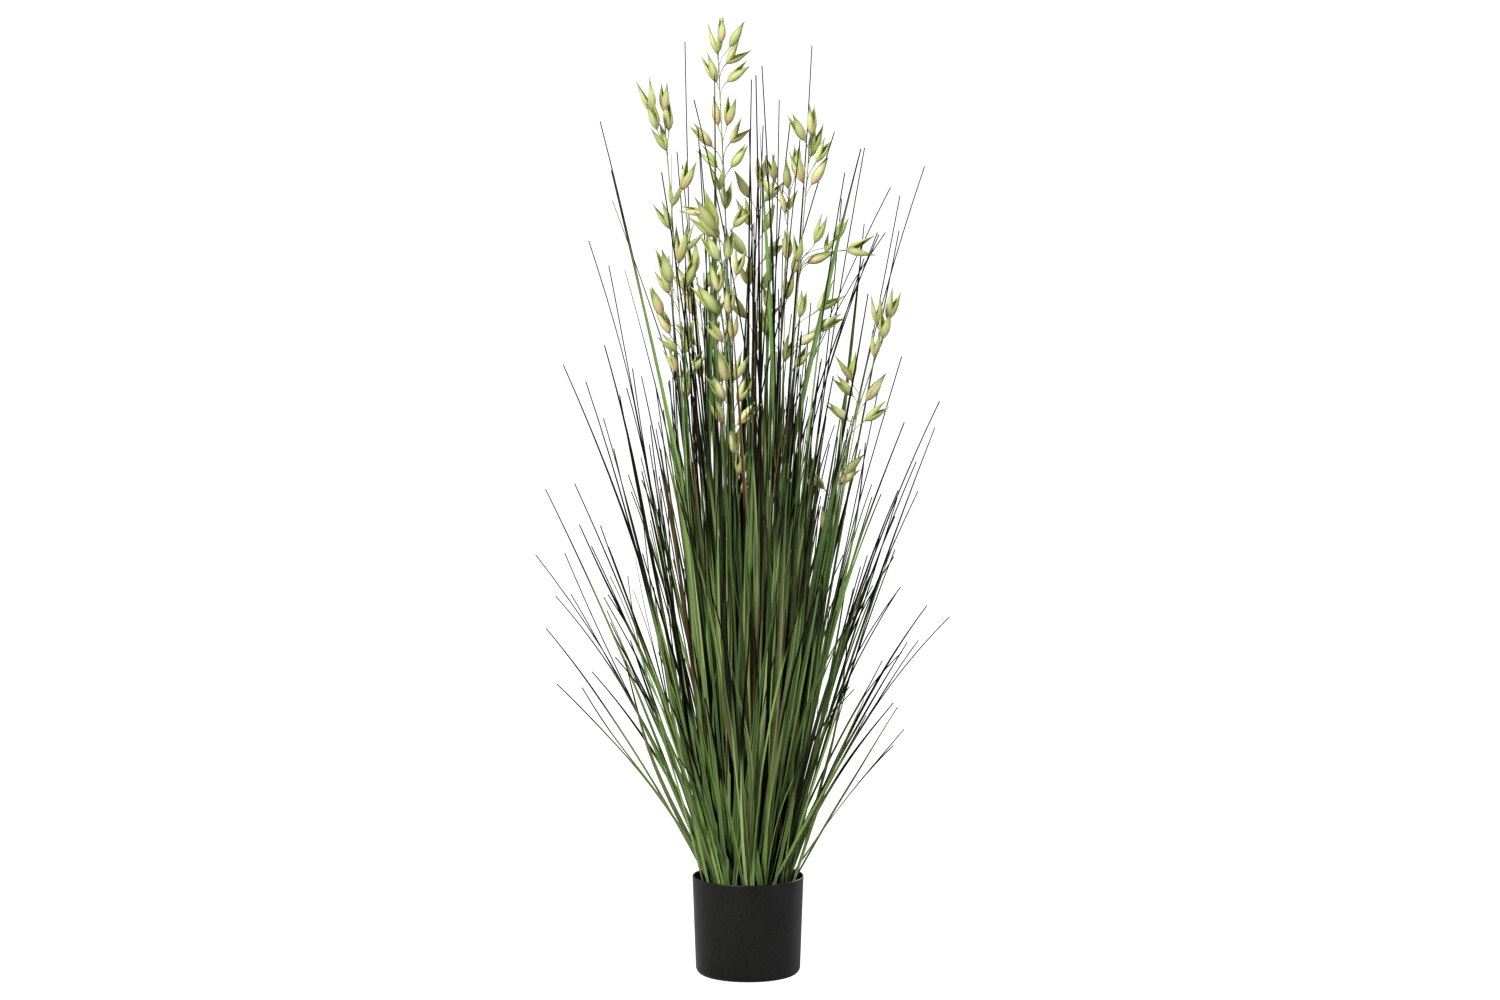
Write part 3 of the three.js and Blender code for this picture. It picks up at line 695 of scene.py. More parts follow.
def plan_spikelet(stem, spray, number, i):
    z, right, lean, opening, size = spray.spikelets[i]
    back = spray.side * math.sin(DEPTH_STEP * i + number)
    depth = SPIKELET_REACH * back
    x, y, _ = at_heights(stem, np.array([min(z, stem.tip[2] - STEM_END)]))
    drop = min(STALK_DROP[1], STALK_DROP[0] + abs(right) + abs(depth))
    low = min(z - drop, stem.tip[2] - STEM_END)
    lean = math.radians(lean)
    axis = Vector((math.sin(lean), BACK_LEAN * back, math.cos(lean))).normalized()
    opens = Vector((0, 1, 0)).cross(axis).normalized()
    opens.rotate(Matrix.Rotation(math.copysign(TWIST, back), 3, axis))
    return Spikelet(
        stalk_share=(low - stem.root[2]) / (stem.tip[2] - stem.root[2]),
        base=Vector((x[0] + right, y[0] + depth, z)),
        axis=axis,
        opens=opens,
        half_opening=math.radians(opening / 2),
        size=size,
    )


planned = []
for number, spray in enumerate(SPRAYS, 1):
    stem = stem_line(spray, number)
    planned.append((stem, [plan_spikelet(stem, spray, number, i) for i in range(len(spray.spikelets))]))
print(len(planned), "sprays with", sum(len(spikelets) for _, spikelets in planned), "spikelets")

# %% Note the room that the oats take
SPIKELET_DISCS = (0.1, 0.45, 0.8)
STALK_DISCS = (0.15, 0.5, 0.85)
SPIKELET_ROOM = 4.6
STALK_ROOM = 3


def keep_clear_of(stem, spikelet):
    length = HUSK_LENGTH * spikelet.size
    for share in SPIKELET_DISCS:
        place = spikelet.base + spikelet.axis * length * share
        opened = math.tan(spikelet.half_opening) * length * share
        obstacles.append((*place, SPIKELET_ROOM * spikelet.size + opened))
    low = stem.root[2] + (stem.tip[2] - stem.root[2]) * spikelet.stalk_share
    x, y, _ = at_heights(stem, np.array([low]))
    start = Vector((x[0], y[0], low))
    for share in STALK_DISCS:
        obstacles.append((*start.lerp(spikelet.base, share), STALK_ROOM))


for stem, spikelets in planned:
    stand(stem)
    for spikelet in spikelets:
        keep_clear_of(stem, spikelet)

# %% [markdown]
# ## The tufts' plan
# A tuft is a bunch of blades on one plug. The tufts stand in rings of 1, 6 and 12, with small russet ones
# between the outer two. The inner ones are tall and upright, and the outer ones lower and wider. Slender
# blades are aimed at the tips that stand out of the outline in the photograph.

# %% Plan the tufts
TUFT_PITCH = 20
TUFTS = [("grass_tuft_1", 0, (0, 0))]
for ring in (1, 2):
    for i in range(6 * ring):
        TUFTS.append((f"grass_tuft_{len(TUFTS) + 1}", ring, (TUFT_PITCH * ring, 60 / ring * i)))
RUSSET_TUFTS = [
    (f"russet_tuft_{i + 1}", "russet", (BETWEEN_RINGS, direction))
    for i, direction in enumerate((48.1, 108.1, 168.1, 228.1, 288.1))
]
RINGS = {
    0: {"height": (960, 0, 170), "reach": (48, 0, 26), "fan": 180, "width": (4.6, 6.2), "count": 11},
    1: {"height": (850, -90, 190), "reach": (88, 34, 30), "fan": 30, "width": (4.6, 6.4), "count": 12},
    2: {"height": (640, -190, 150), "reach": (150, 62, 26), "fan": 15, "width": (4, 5.8), "count": 13},
    "russet": {"height": (800, 0, 170), "reach": (80, 0, 45), "fan": 32, "width": (3.4, 4.6), "count": 4},
}
OUTLINE_TIPS = [
    (-183, 10, 1070), (-186, -20, 925), (-230, 20, 769), (-200, -40, 752), (-175, 30, 791),
    (-152, -30, 762), (-249, 15, 615), (-216, -50, 625), (-246, -25, 542), (-231, 45, 485),
    (-249, -10, 443), (-215, 60, 560), (-93, 35, 1168), (-60, -30, 1062), (4, 30, 1060),
    (28, -12, 1139), (44, 40, 1068), (82, 8, 1163), (112, -30, 1010), (137, 12, 1038),
    (213, 20, 1015), (188, 45, 932), (150, -45, 860), (186, 30, 776), (235, -8, 727),
    (236, 50, 686), (213, -40, 648), (200, 25, 611), (180, -60, 500), (222, 40, 464),
    (252, -12, 452), (184, 70, 410),
]

# %% Draw one blade's line
BLADE_SHARES = (0, 0.27, 0.54, 0.8, 1)
SLENDER_SHARES = (0, 0.34, 0.7, 1)
SLENDER_WIDTH = (2.4, 3.2)
FOOT_WIDTH = 0.62
WIDENING = 1.9
PACKED_NARROWING = (1.15, 1.12)
BOWS = (0.12, 0.6)
MOST_SWAY = 11
MOST_ASKEW = 50
MOST_TURN = 70


def blade_taper(share, narrowing=PACKED_NARROWING):
    """Narrow at the plug, widest at nearly a fifth of the height, and then narrower again."""
    return min(FOOT_WIDTH + WIDENING * share, narrowing[0] - narrowing[1] * share)


def blade_line(tuft, slot, tip, slender, draw):
    name, ring, place = tuft
    centre, offset = on_circle(*place), on_circle(*slot)
    x, y = centre[0] + offset[0], centre[1] + offset[1]
    width = draw(*(SLENDER_WIDTH if slender else RINGS[ring]["width"]))
    bow = draw(*BOWS)
    sway = draw(-MOST_SWAY, MOST_SWAY)
    facing = math.degrees(math.atan2(tip[1] - y, tip[0] - x)) + draw(-MOST_ASKEW, MOST_ASKEW)
    return Line(
        owner=name,
        root=(x, y, ROOT_HEIGHT),
        tip=tip,
        bow=bow,
        sway=sway,
        shares=SLENDER_SHARES if slender else BLADE_SHARES,
        width=width,
        taper=blade_taper,
        facing=facing,
        turn=draw(-MOST_TURN, MOST_TURN),
        slender=slender,
    )


# %% Choose each blade's slot and tip
BLADE_SEEDS = 40503
TRY_SEEDS = 9176
MOST_TRIES = 120
OUTLINE_SEED = 1000
RUSSET_SEED = 2000
SEEDS_A_TUFT = 20
WIDEST_REACH = 252
SLENDER_FROM = 0.45
OUTER_SHARE = 0.66
OUTER_SLOTS = 5.4
INNER_SLOTS = 2.4
RUSSET_SLOTS = 1.7
INNER_TURN = 20
MOST_STRAY = {0: 25, 1: 9, 2: 9, "russet": 9}
grown = []


def first_that(suits, number, most, make, *given):
    """Draws a blade until one suits, and gives it in a list. After too many tries the list is empty."""
    for tries in range(most):
        line = make(*given, draws(number * BLADE_SEEDS + tries * TRY_SEEDS))
        if suits(line):
            return [line]
    return []


def stands_clear(line):
    return clear_of_oats(line) and clear_of_lines(line)


def grow_clear(number, make, *given):
    """Lets a blade stand where it is clear of all others. If it never is, its place stays empty."""
    for line in first_that(stands_clear, number, MOST_TRIES, make, *given):
        stand(line)
        grown.append(line)


def slot_of(ring, i, count):
    """A blade's place on its plug, in an outer or an inner ring of slots, as a radius and a direction."""
    outer = count if ring == "russet" else math.ceil(count * OUTER_SHARE)
    if i < outer:
        return (RUSSET_SLOTS if ring == "russet" else OUTER_SLOTS), 360 * (i + 0.5) / outer
    return INNER_SLOTS, 360 * (i - outer) / (count - outer) + INNER_TURN


def tuft_blade(tuft, i, count, draw):
    """The blade in slot i of a tuft that has count slots."""
    _, ring, place = tuft
    habit = RINGS[ring]
    slot = slot_of(ring, i, count)
    away = slot[1] if ring == 0 else place[1]
    outward = math.cos(math.radians(slot[1] - away))
    sideways = math.sin(math.radians(slot[1] - away))
    middle, gain, scatter = habit["height"]
    height = middle + gain * outward + draw(-scatter, scatter)
    middle, gain, scatter = habit["reach"]
    reach = min(middle + gain * outward + draw(-scatter, scatter), WIDEST_REACH)
    stray = draw(-MOST_STRAY[ring], MOST_STRAY[ring])
    tip = (*on_circle(reach, away + habit["fan"] * sideways + stray), height)
    return blade_line(tuft, slot, tip, ring == 2 and outward > SLENDER_FROM, draw)


def grow_tuft(tuft, first):
    count = RINGS[tuft[1]]["count"]
    for i in range(count):
        grow_clear(first + i, tuft_blade, tuft, i, count)


# %% Grow the outline's blades first, and then the tufts
TALL_TIP = 1000
OUTLINE_SLOT = 6
OUTLINE_TURN = 75
OUTLINE_DEPTH = 40
MAY_CROSS = -10


def outline_blade(tuft, tip, direction, draw):
    slot = (OUTLINE_SLOT, direction + draw(-OUTLINE_TURN, OUTLINE_TURN))
    moved = (tip[0], tip[1] + draw(-OUTLINE_DEPTH, OUTLINE_DEPTH), tip[2])
    return replace(blade_line(tuft, slot, moved, True, draw), room_in_tuft=MAY_CROSS)


def grow_outline():
    """Each outline blade grows from the tuft that stands nearest to its own direction."""
    for i, tip in enumerate(OUTLINE_TIPS):
        direction = math.degrees(math.atan2(tip[1], tip[0]))
        ring = 1 if tip[2] > TALL_TIP else 2
        nth = math.floor(direction * ring / 60 + 6 * ring + 0.5) % (6 * ring)
        tuft = [each for each in TUFTS if each[1] == ring][nth]
        grow_clear(OUTLINE_SEED + i, outline_blade, tuft, tip, direction)


grow_outline()
for i, tuft in enumerate(RUSSET_TUFTS):
    grow_tuft(tuft, RUSSET_SEED + SEEDS_A_TUFT * i)
for i, tuft in enumerate(TUFTS):
    grow_tuft(tuft, SEEDS_A_TUFT * i)
print(len(grown), "blades grow where the parts have them")

# %% [markdown]
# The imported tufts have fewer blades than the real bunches, because solids have to stay clear of each other.
# Moulded blades press together and cross, so each tuft now gets more of them by the same rule. Their tips
# are turned further round the plant, and their feet are down in the cement, the outer ones near the pot's
# wall. They only have to stay off the oats, and leave those in view that the photograph shows.

# %% Fill the tufts up
MORE_SEED = 5000
HIGHEST_FILL = 1080
MOVED_ROOT_HEIGHT = FILLING_TOP - 3
FILL = {
    0: {"count": 1, "stray": 180, "reach": (0.9, 2), "height": (0.7, 0.9), "root": (0, 4)},
    1: {"count": 4, "stray": 85, "reach": (0.75, 1.3), "height": (0.74, 1.02), "root": (0, 3)},
    2: {"count": 8, "stray": 50, "reach": (0.6, 1), "height": (0.82, 1.04), "root": (1, 14)},
    "russet": {"count": 2, "stray": 60, "reach": (0.8, 1.2), "height": (0.84, 1.06), "root": (0, 2)},
}
FEW_TRIES = 5
FRONT_SPRAYS = (0, 1, 2, 3, 5)
HALF_HUSK = 6
CROSSING_BOWS = (-0.25, 0.35)
CROSSING_SWAY = 20
front_oats = np.array([
    spikelet.base + spikelet.axis * HUSK_LENGTH / 2 for i in FRONT_SPRAYS for spikelet in planned[i][1]
])


def hides_oats(line):
    """Whether a blade passes in front of a spikelet that the photograph shows."""
    x, y, _ = at_heights(line, front_oats[:, 2])
    return ((np.abs(x - front_oats[:, 0]) < HALF_HUSK) & (y < front_oats[:, 1])).any()


def leaves_oats(line):
    """Whether a blade stays off the oats and, unless it is an aimed one, out of their view."""
    return clear_of_oats(line) and (line.slender or line.broad or not hides_oats(line))


def filling_blade(tuft, i, draw):
    """A tuft's blade with its tip turned round the plant and its root moved out, so it crosses others."""
    fill = FILL[tuft[1]]
    line = tuft_blade(tuft, i, fill["count"], draw)
    tip = Matrix.Rotation(math.radians(draw(-fill["stray"], fill["stray"])), 3, "Z") @ Vector(line.tip)
    out, up = draw(*fill["reach"]), draw(*fill["height"])
    moved = (tip.x * out, tip.y * out, min(tip.z * up, HIGHEST_FILL))
    wider = 1 + draw(*fill["root"]) / math.hypot(line.root[0], line.root[1])
    root = (line.root[0] * wider, line.root[1] * wider, MOVED_ROOT_HEIGHT)
    bends = {"bow": draw(*CROSSING_BOWS), "sway": draw(-CROSSING_SWAY, CROSSING_SWAY)}
    return replace(line, root=root, tip=moved, slender=False, **bends)


filled = []
for i, tuft in enumerate(TUFTS + RUSSET_TUFTS):
    for j in range(FILL[tuft[1]]["count"]):
        seed = MORE_SEED + SEEDS_A_TUFT * i + j
        filled += first_that(leaves_oats, seed, FEW_TRIES, filling_blade, tuft, j)

# %% [markdown]
# Some blades stand out in the photograph: broad green ones that rise over the front and between the sprays,
# and dark slender ones that cross the others. Each is aimed at its tip and at a place that it passes lower
# down. It grows from the tuft that suits these two, a green one in the front half, and bows as much as it
# needs to.

# %% Aim the blades that stand out
BROAD_AIMS = [
    ((17, -20, 1062), (37, 726), 5.4), ((136, -20, 1038), (84, 813), 4.6), ((61, 10, 1035), (57, 849), 4),
    ((-44, -20, 1129), (-43, 726), 5.4), ((-43, -10, 986), (-60, 725), 4.8),
    ((-167, -30, 1011), (-105, 739), 3.8), ((-80, -20, 900), (-86, 726), 4.2),
    ((10, -20, 813), (19, 664), 4), ((142, -10, 943), (118, 700), 3.8), ((-18, -70, 644), (-2, 430), 6),
    ((-76, -70, 681), (-45, 468), 5.2), ((-98, -60, 693), (-63, 467), 5.4),
    ((44, -50, 729), (46, 478), 4.4), ((74, -40, 679), (67, 478), 5), ((111, -50, 630), (93, 453), 4.8),
    ((120, -50, 680), (75, 466), 4), ((71, -70, 607), (30, 455), 4), ((-2, -60, 730), (5, 529), 4),
]
SLENDER_AIMS = [
    ((112, 20, 1055), (61, 954)), ((-67, -30, 1097), (-16, 962)), ((184, -20, 986), (111, 844)),
    ((164, 10, 929), (109, 793)), ((-164, -20, 974), (-109, 807)), ((-156, 0, 886), (-122, 762)),
    ((148, -30, 940), (105, 789)), ((-100, 20, 1028), (-98, 935)),
]
RUSSET_AIMS = [
    ((10, -20, 883), (11, 812), 4.8), ((26, -40, 724), (4, 572), 4.8), ((-80, -50, 678), (-64, 582), 4.4),
]
FRONT_TUFTS = [tuft for tuft in TUFTS if on_circle(*tuft[2])[1] < 1]
AIMED_TRIES = 30
USUAL_BOW = 0.3
BOW_LIMITS = (-0.8, 1.2)
LEAST_LEAN = 10
SLOT_REACH = 6
NEARLY_AS_NEAR = 8
AIMED_DEPTH = 30
AIMED_SWAY = 4
AIMED_TURN = 30
TO_THE_FRONT = (235, 305)
AIMED_SEED = 8000


def aimed_blade(tufts, tip, past, width, draw):
    """A blade from one of some tufts that ends at a tip and passes a place, given as its x and height."""
    share = (past[1] - ROOT_HEIGHT) / (tip[2] - ROOT_HEIGHT)
    reach = share * (1 - USUAL_BOW + USUAL_BOW * share)
    start = (past[0] - reach * tip[0]) / (1 - reach)
    tuft = min(tufts, key=lambda each: abs(on_circle(*each[2])[0] - start) + draw(0, NEARLY_AS_NEAR))
    x, y = on_circle(*tuft[2])
    x += max(-SLOT_REACH, min(SLOT_REACH, start - x))
    y += draw(-SLOT_REACH, SLOT_REACH)
    bow = USUAL_BOW
    if abs(tip[0] - x) > LEAST_LEAN:
        bow = (share - (past[0] - x) / (tip[0] - x)) / (share * (1 - share))
    return Line(
        owner=tuft[0],
        root=(x, y, MOVED_ROOT_HEIGHT),
        tip=(tip[0], tip[1] + draw(-AIMED_DEPTH, AIMED_DEPTH), tip[2]),
        bow=max(BOW_LIMITS[0], min(BOW_LIMITS[1], bow)),
        sway=draw(-AIMED_SWAY, AIMED_SWAY),
        shares=BLADE_SHARES,
        width=width,
        taper=blade_taper,
        facing=draw(*TO_THE_FRONT),
        turn=draw(-AIMED_TURN, AIMED_TURN),
        slender=width < SLENDER_WIDTH[1],
        broad=width > SLENDER_WIDTH[1],
    )


aims = [(FRONT_TUFTS, *aim) for aim in BROAD_AIMS]
aims += [(FRONT_TUFTS, *aim, SLENDER_WIDTH[0]) for aim in SLENDER_AIMS]
aims += [(RUSSET_TUFTS, *aim) for aim in RUSSET_AIMS]
aimed = []
for i, aim in enumerate(aims):
    aimed += first_that(leaves_oats, AIMED_SEED + i, AIMED_TRIES, aimed_blade, *aim)
filled += aimed
print(len(aimed), "of", len(aims), "aimed blades stand")
print(len(filled), "more blades fill the tufts")

# %% [markdown]
# ## Blades
# A real blade is a strip of soft plastic with a fold along its middle. It keeps most of its width until near
# its end, and then narrows to a dark hair. Some blades are slit into two strips, which part and end in a
# hair each. So a blade starts as a flat grid, its upper lines of edges are split where it is slit, and its
# points are then moved out to the blade's line. The sheet gets its thickness last, for all blades of a tuft
# at once. Each point carries four numbers for the material: the blade's tone, the share of its height, how
# russet it is and how dark.

# %% Place the points of a blade
BLADE_ROWS = 16
SLIT_ROW = 10
FULLNESS = 1.65
TALL_FULLNESS = 1.4
TALL = (720, 950)
SLENDER_FULLNESS = 1.3
REAL_NARROWING = (1.16, 0.68)
HAIR_END = 0.62
HAIR_TAPER = (1.2, 0.7)
HAIR_FOLD = 1.5
NARROWING = 1.6
CLOSING = 0.4
PARTING = 1.7
LOOK_AHEAD = 0.02


@dataclass(frozen=True)
class Strip:
    """One of the strips that a blade is slit into: how far its end drifts, and how long it is."""

    sideways: float
    outwards: float
    length: float


@dataclass(frozen=True)
class Cut:
    """How a blade is cut and bent: its strips, its breadth, where they part, its fold and its slow waves."""

    strips: tuple
    breadth: float
    slit: float
    fold: float
    wave: float
    phase: float


def eased_share(value, low, high):
    t = min(1, max(0, (value - low) / (high - low)))
    return t * t * (3 - 2 * t)


def frame_at(line, cut, share):
    """A blade's middle at a share of its height, with its sideways direction and the one that it faces."""
    middle = Vector(along(line, share))
    before, after = (Vector(along(line, share + step)) for step in (-LOOK_AHEAD, LOOK_AHEAD))
    tangent = (after - before).normalized()
    face = Vector((*on_circle(1, line.facing + line.turn * share), 0))
    face = (face - tangent * face.dot(tangent)).normalized()
    side = tangent.cross(face)
    waved = cut.wave * share * math.sin(math.tau * (share + cut.phase))
    return middle + side * waved, side, face


def full_width(line, share):
    """The width of the real blade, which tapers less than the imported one. The tall blades are narrower."""
    fullness = FULLNESS + (TALL_FULLNESS - FULLNESS) * eased_share(line.tip[2], *TALL)
    if line.slender or line.owner.startswith("russet"):
        fullness = SLENDER_FULLNESS
    return fullness * line.width * blade_taper(share, REAL_NARROWING)


def strip_point(line, cut, number, column, row):
    """The point of a strip in a column from -1 to 1 across the blade and in a row of the grid."""
    strip = cut.strips[number]
    count = len(cut.strips)
    free = max(0, (row - SLIT_ROW) / (BLADE_ROWS - SLIT_ROW))
    share = cut.slit * row / SLIT_ROW if free == 0 else cut.slit + (1 - cut.slit) * free * strip.length
    middle, side, face = frame_at(line, cut, share)
    width = cut.breadth * full_width(line, min(share, cut.slit))
    own_middle = (2 * number + 1) / count - 1
    local = (column - own_middle) * count
    hair = HAIR_END * free * (HAIR_TAPER[0] - HAIR_TAPER[1] * free)
    half = width / count / 2 * (1 - free) ** NARROWING + hair
    across = own_middle * width / 2 * (1 - CLOSING * free) + local * half + strip.sideways * free**PARTING
    fold = cut.fold + (HAIR_FOLD - cut.fold) * free
    lift = fold * abs(local) * half + strip.outwards * free**PARTING
    return (middle + side * across + face * lift) * MM, share


# %% Grow a blade
TOUCHING = 1e-4


def grow_blade(sheet, line, cut, values):
    """Adds a blade to a sheet. values(share) gives the four numbers of a point."""
    numbers = sheet.verts.layers.float_color["blade"]
    count = len(cut.strips)
    size = {"x_segments": 2 * count, "y_segments": BLADE_ROWS, "size": 1}
    made = bmesh.ops.create_grid(sheet, **size, calc_uvs=True)["verts"]
    faces = {face for vert in made for face in vert.link_faces}
    first_free = 2 * SLIT_ROW / BLADE_ROWS - 1
    borders = [2 * i / count - 1 for i in range(1, count)]

    def is_slit(edge):
        low, high = edge.verts[0].co, edge.verts[1].co
        on_border = any(max(abs(low.x - x), abs(high.x - x)) < TOUCHING for x in borders)
        return on_border and min(low.y, high.y) > first_free - TOUCHING

    edges = {edge for face in faces for edge in face.edges}
    bmesh.ops.split_edges(sheet, edges=[edge for edge in edges if is_slit(edge)])
    strip_of = {}
    for face in faces:
        number = int((face.calc_center_median().x + 1) / 2 * count)
        for vert in face.verts:
            strip_of[vert] = number
    for vert, number in strip_of.items():
        column, row = vert.co.x, round((vert.co.y + 1) / 2 * BLADE_ROWS)
        vert.co, share = strip_point(line, cut, number, column, row)
        vert[numbers] = values(share)


# %% [markdown]
# Five kinds of blades make up the plant, so each kind has ranges that a blade's looks are drawn from. Plain
# blades are wide, and a third of them are slit in two. Most of the tall ones are thin, and dark from halfway
# up. Slender ones are folded sharply and turned aside, so that they look like wires. The broad ones are
# those aimed at the front, and the russet ones are reddish brown. Nearly half of the blades that stand
# further in get painted shade: they are painted nearly black, with a little painted light in their upper
# half. That painted shade keeps the gaps between the outer ones deep.

# %% Choose how each blade is slit and coloured
LOOK_SEED = 9000
MOSTLY_THIN = 0.68
# Painted shade for the inner blades: how many get it, from which roots, how dark, and the painted light that
# lifts it above.
PAINTED_SHADE_SHARE = 0.46
INNER_ROOTS = (41, 53)
PAINTED_SHADE = (0.8, 1)
PAINTED_LIGHT_ABOVE = 0.32
PAINTED_LIGHT_FROM = (0.38, 0.62)
RED_FROM = (0.12, 0.4)
DARKENING = 0.16
MOST_WAVE = 5
STRIPS_APART = (12, 32)
STRIP_ASIDE = 6
STRIP_OUT = 8
SHORTER = (0.04, 0.3)
PLAIN = {
    "strips": 2.5, "slit": (0.52, 0.78), "breadth": (0.85, 1.15), "fold": (0.15, 0.75),
    "dark_from": (0.68, 0.98), "dark": (0, 0), "tone": (0, 1), "turned": (0, 0), "red": (-0.75, 0.6),
}
LOOKS = {
    "plain": PLAIN,
    "thin": PLAIN | {"strips": 1, "breadth": (0.42, 0.62), "dark_from": (0.36, 0.66), "dark": (0.15, 0.55)},
    "broad": PLAIN | {"strips": 1, "slit": (0.74, 0.86), "breadth": (1.15, 1.4), "fold": (0.15, 0.5),
                      "dark_from": (0.76, 0.9), "tone": (0.02, 0.5)},
    "slender": PLAIN | {"fold": (0.6, 1.1), "dark_from": (0.4, 0.7), "dark": (0.1, 0.45),
                        "turned": (25, 75)},
    "russet": PLAIN | {"strips": 1, "slit": (0.56, 0.8), "dark_from": (0.7, 0.9), "red": (0.75, 1)},
}


def kind_of(line, draw):
    """A blade's kind. Most of the tall ones are thin."""
    thin = draw(0, 1) < MOSTLY_THIN * eased_share(line.tip[2], *TALL)
    if line.owner.startswith("russet"):
        return "russet"
    if line.slender:
        return "slender"
    if line.broad:
        return "broad"
    return "thin" if thin else "plain"


def gets_painted_shade(line, kind, draw):
    """Whether a blade stands so far in that hardly any light gets to it, and so gets painted shade, nearly
    black.
    """
    inner = 1 - eased_share(math.hypot(line.root[0], line.root[1]), *INNER_ROOTS)
    return draw(0, 1) < PAINTED_SHADE_SHARE * inner and kind in ("plain", "thin")


def dress_blade(sheet, line, number):
    draw = draws((LOOK_SEED + number) * BLADE_SEEDS)
    kind = kind_of(line, draw)
    look = LOOKS[kind]
    count = int(draw(1, look["strips"]))
    strips = []
    for i in range(count):
        aside = (i - (count - 1) / 2) * draw(*STRIPS_APART) + draw(-STRIP_ASIDE, STRIP_ASIDE)
        strips.append(Strip(aside, draw(-STRIP_OUT, STRIP_OUT), 1 - i % 2 * draw(*SHORTER)))
    breadth, slit, fold = draw(*look["breadth"]), draw(*look["slit"]), draw(*look["fold"])
    cut = Cut(tuple(strips), breadth, slit, fold, draw(0, MOST_WAVE), draw(0, 1))
    tone, dark_from = draw(*look["tone"]), draw(*look["dark_from"])
    # A blade far in gets painted shade all along; the other kinds keep their own darkness.
    all_along_dark_and_painted_shade = draw(*(PAINTED_SHADE if gets_painted_shade(line, kind, draw) else look["dark"]))
    redness = max(0, draw(*look["red"]))
    turned = replace(line, facing=line.facing + draw(*look["turned"]))

    def values(share):
        tip_dark = eased_share(share, dark_from, dark_from + DARKENING)
        # The darkness all along, painted shade included, is lightened above by painted light.
        dark_and_painted_shade = all_along_dark_and_painted_shade * (1 - PAINTED_LIGHT_ABOVE * eased_share(share, *PAINTED_LIGHT_FROM))
        return (tone, share, redness * eased_share(share, *RED_FROM), max(tip_dark, dark_and_painted_shade))

    grow_blade(sheet, turned, cut, values)


# %% [markdown]
# ## The blades' plastic
# No two blades have quite the same green. The tone goes from a deep green over a fresh one to a greyish
# olive, the streaks along the blade lighten its ribs, the foot is greyer and darker with painted shade near
# the cement, the upper half deeper, and the ends turn nearly black. Inner blades get a painted shade that is
# nearly black low down. Russet blades use the same tree with another share of red.

# %% Make the blades' material
def make_blade_plastic():
    material, tree, shader = new_material("ribbed blade plastic")
    tone, share, red, dark = four_numbers(tree, "blade")
    fine = streaks(tree, across=14, along=2.2, shift=tone)
    broad = streaks(tree, across=5, along=1.1, shift=tone)
    deep, bluish, fresh = paint(64, 90, 44), paint(80, 114, 66), paint(104, 146, 72)
    plain, olive, greyish = paint(122, 142, 84), paint(138, 150, 96), paint(154, 166, 122)
    greens = ramp(tree, tone, deep, bluish, plain, fresh, olive, greyish, plain)
    shaded = blended(tree, broad, greens, paint(50, 68, 28), most=0.35)
    ribbed = blended(tree, fine, shaded, paint(158, 176, 112), most=0.35)
    # The foot is greyer, its own colour, and darker, a painted shade near the cement.
    grey_foot_and_painted_shade = blended(tree, eased(tree, share, 0.35, 0.05), ribbed, paint(90, 106, 64), most=0.3)
    topped = blended(tree, eased(tree, share, 0.5, 0.8), grey_foot_and_painted_shade, paint(64, 98, 52), most=0.4)
    reddish = blended(tree, fine, paint(76, 40, 38), paint(110, 70, 58))
    redness = sums(tree, "MULTIPLY", red, eased(tree, sums(tree, "ADD", broad, red), 0.55, 1.1))
    russet = blended(tree, redness, topped, reddish)
    ends = blended(tree, fine, paint(18, 15, 15), paint(40, 36, 28))
    # Low down the dark colour is a painted shade, nearly black; higher up it is the blades' own dark ends.
    dark_ends_and_painted_shade = blended(tree, eased(tree, share, 0.35, 0.7), paint(7, 9, 6), ends)
    streaky_dark_and_painted_shade = eased(tree, sums(tree, "MULTIPLY_ADD", broad, 0.3, dark), 0.2, 1.0)
    feed(tree, shader, {
        "Base Color": blended(tree, streaky_dark_and_painted_shade, russet, dark_ends_and_painted_shade),
        "Roughness": sums(tree, "MULTIPLY_ADD", fine, 0.14, 0.4),
        "Normal": bumped(tree, fine, strength=0.5, distance=0.0003),
        "Specular IOR Level": sums(tree, "MULTIPLY_ADD", dark, -0.2, 0.26),
    })
    return material


blade_plastic = make_blade_plastic()

# %% [markdown]
# One moulded plug holds the blades of a tuft, and stands in its hole in the cement. The plug is a short
# cylinder with a rounded top edge, and its foot is out of sight.

# %% Grow the tufts
PLUG_DEPTH = 30
PLUG_SIDES = 20
PLUG_ROUND = 0.9
PLUG_LOOK = (0.4, 0.1, 0, 0)
PLUGS = {"grass": 6.9, "russet": 2.6}
SLOTS = {"grass": "green_blade", "russet": "russet_blade"}
BLADE_SHEET = 0.5
CREASE = 0.3


def crease(sheet):
    """Keeps the folds crisp where a sheet bends by more than the crease angle in radians."""
    for edge in sheet.edges:
        edge.smooth = edge.calc_face_angle(0) < CREASE


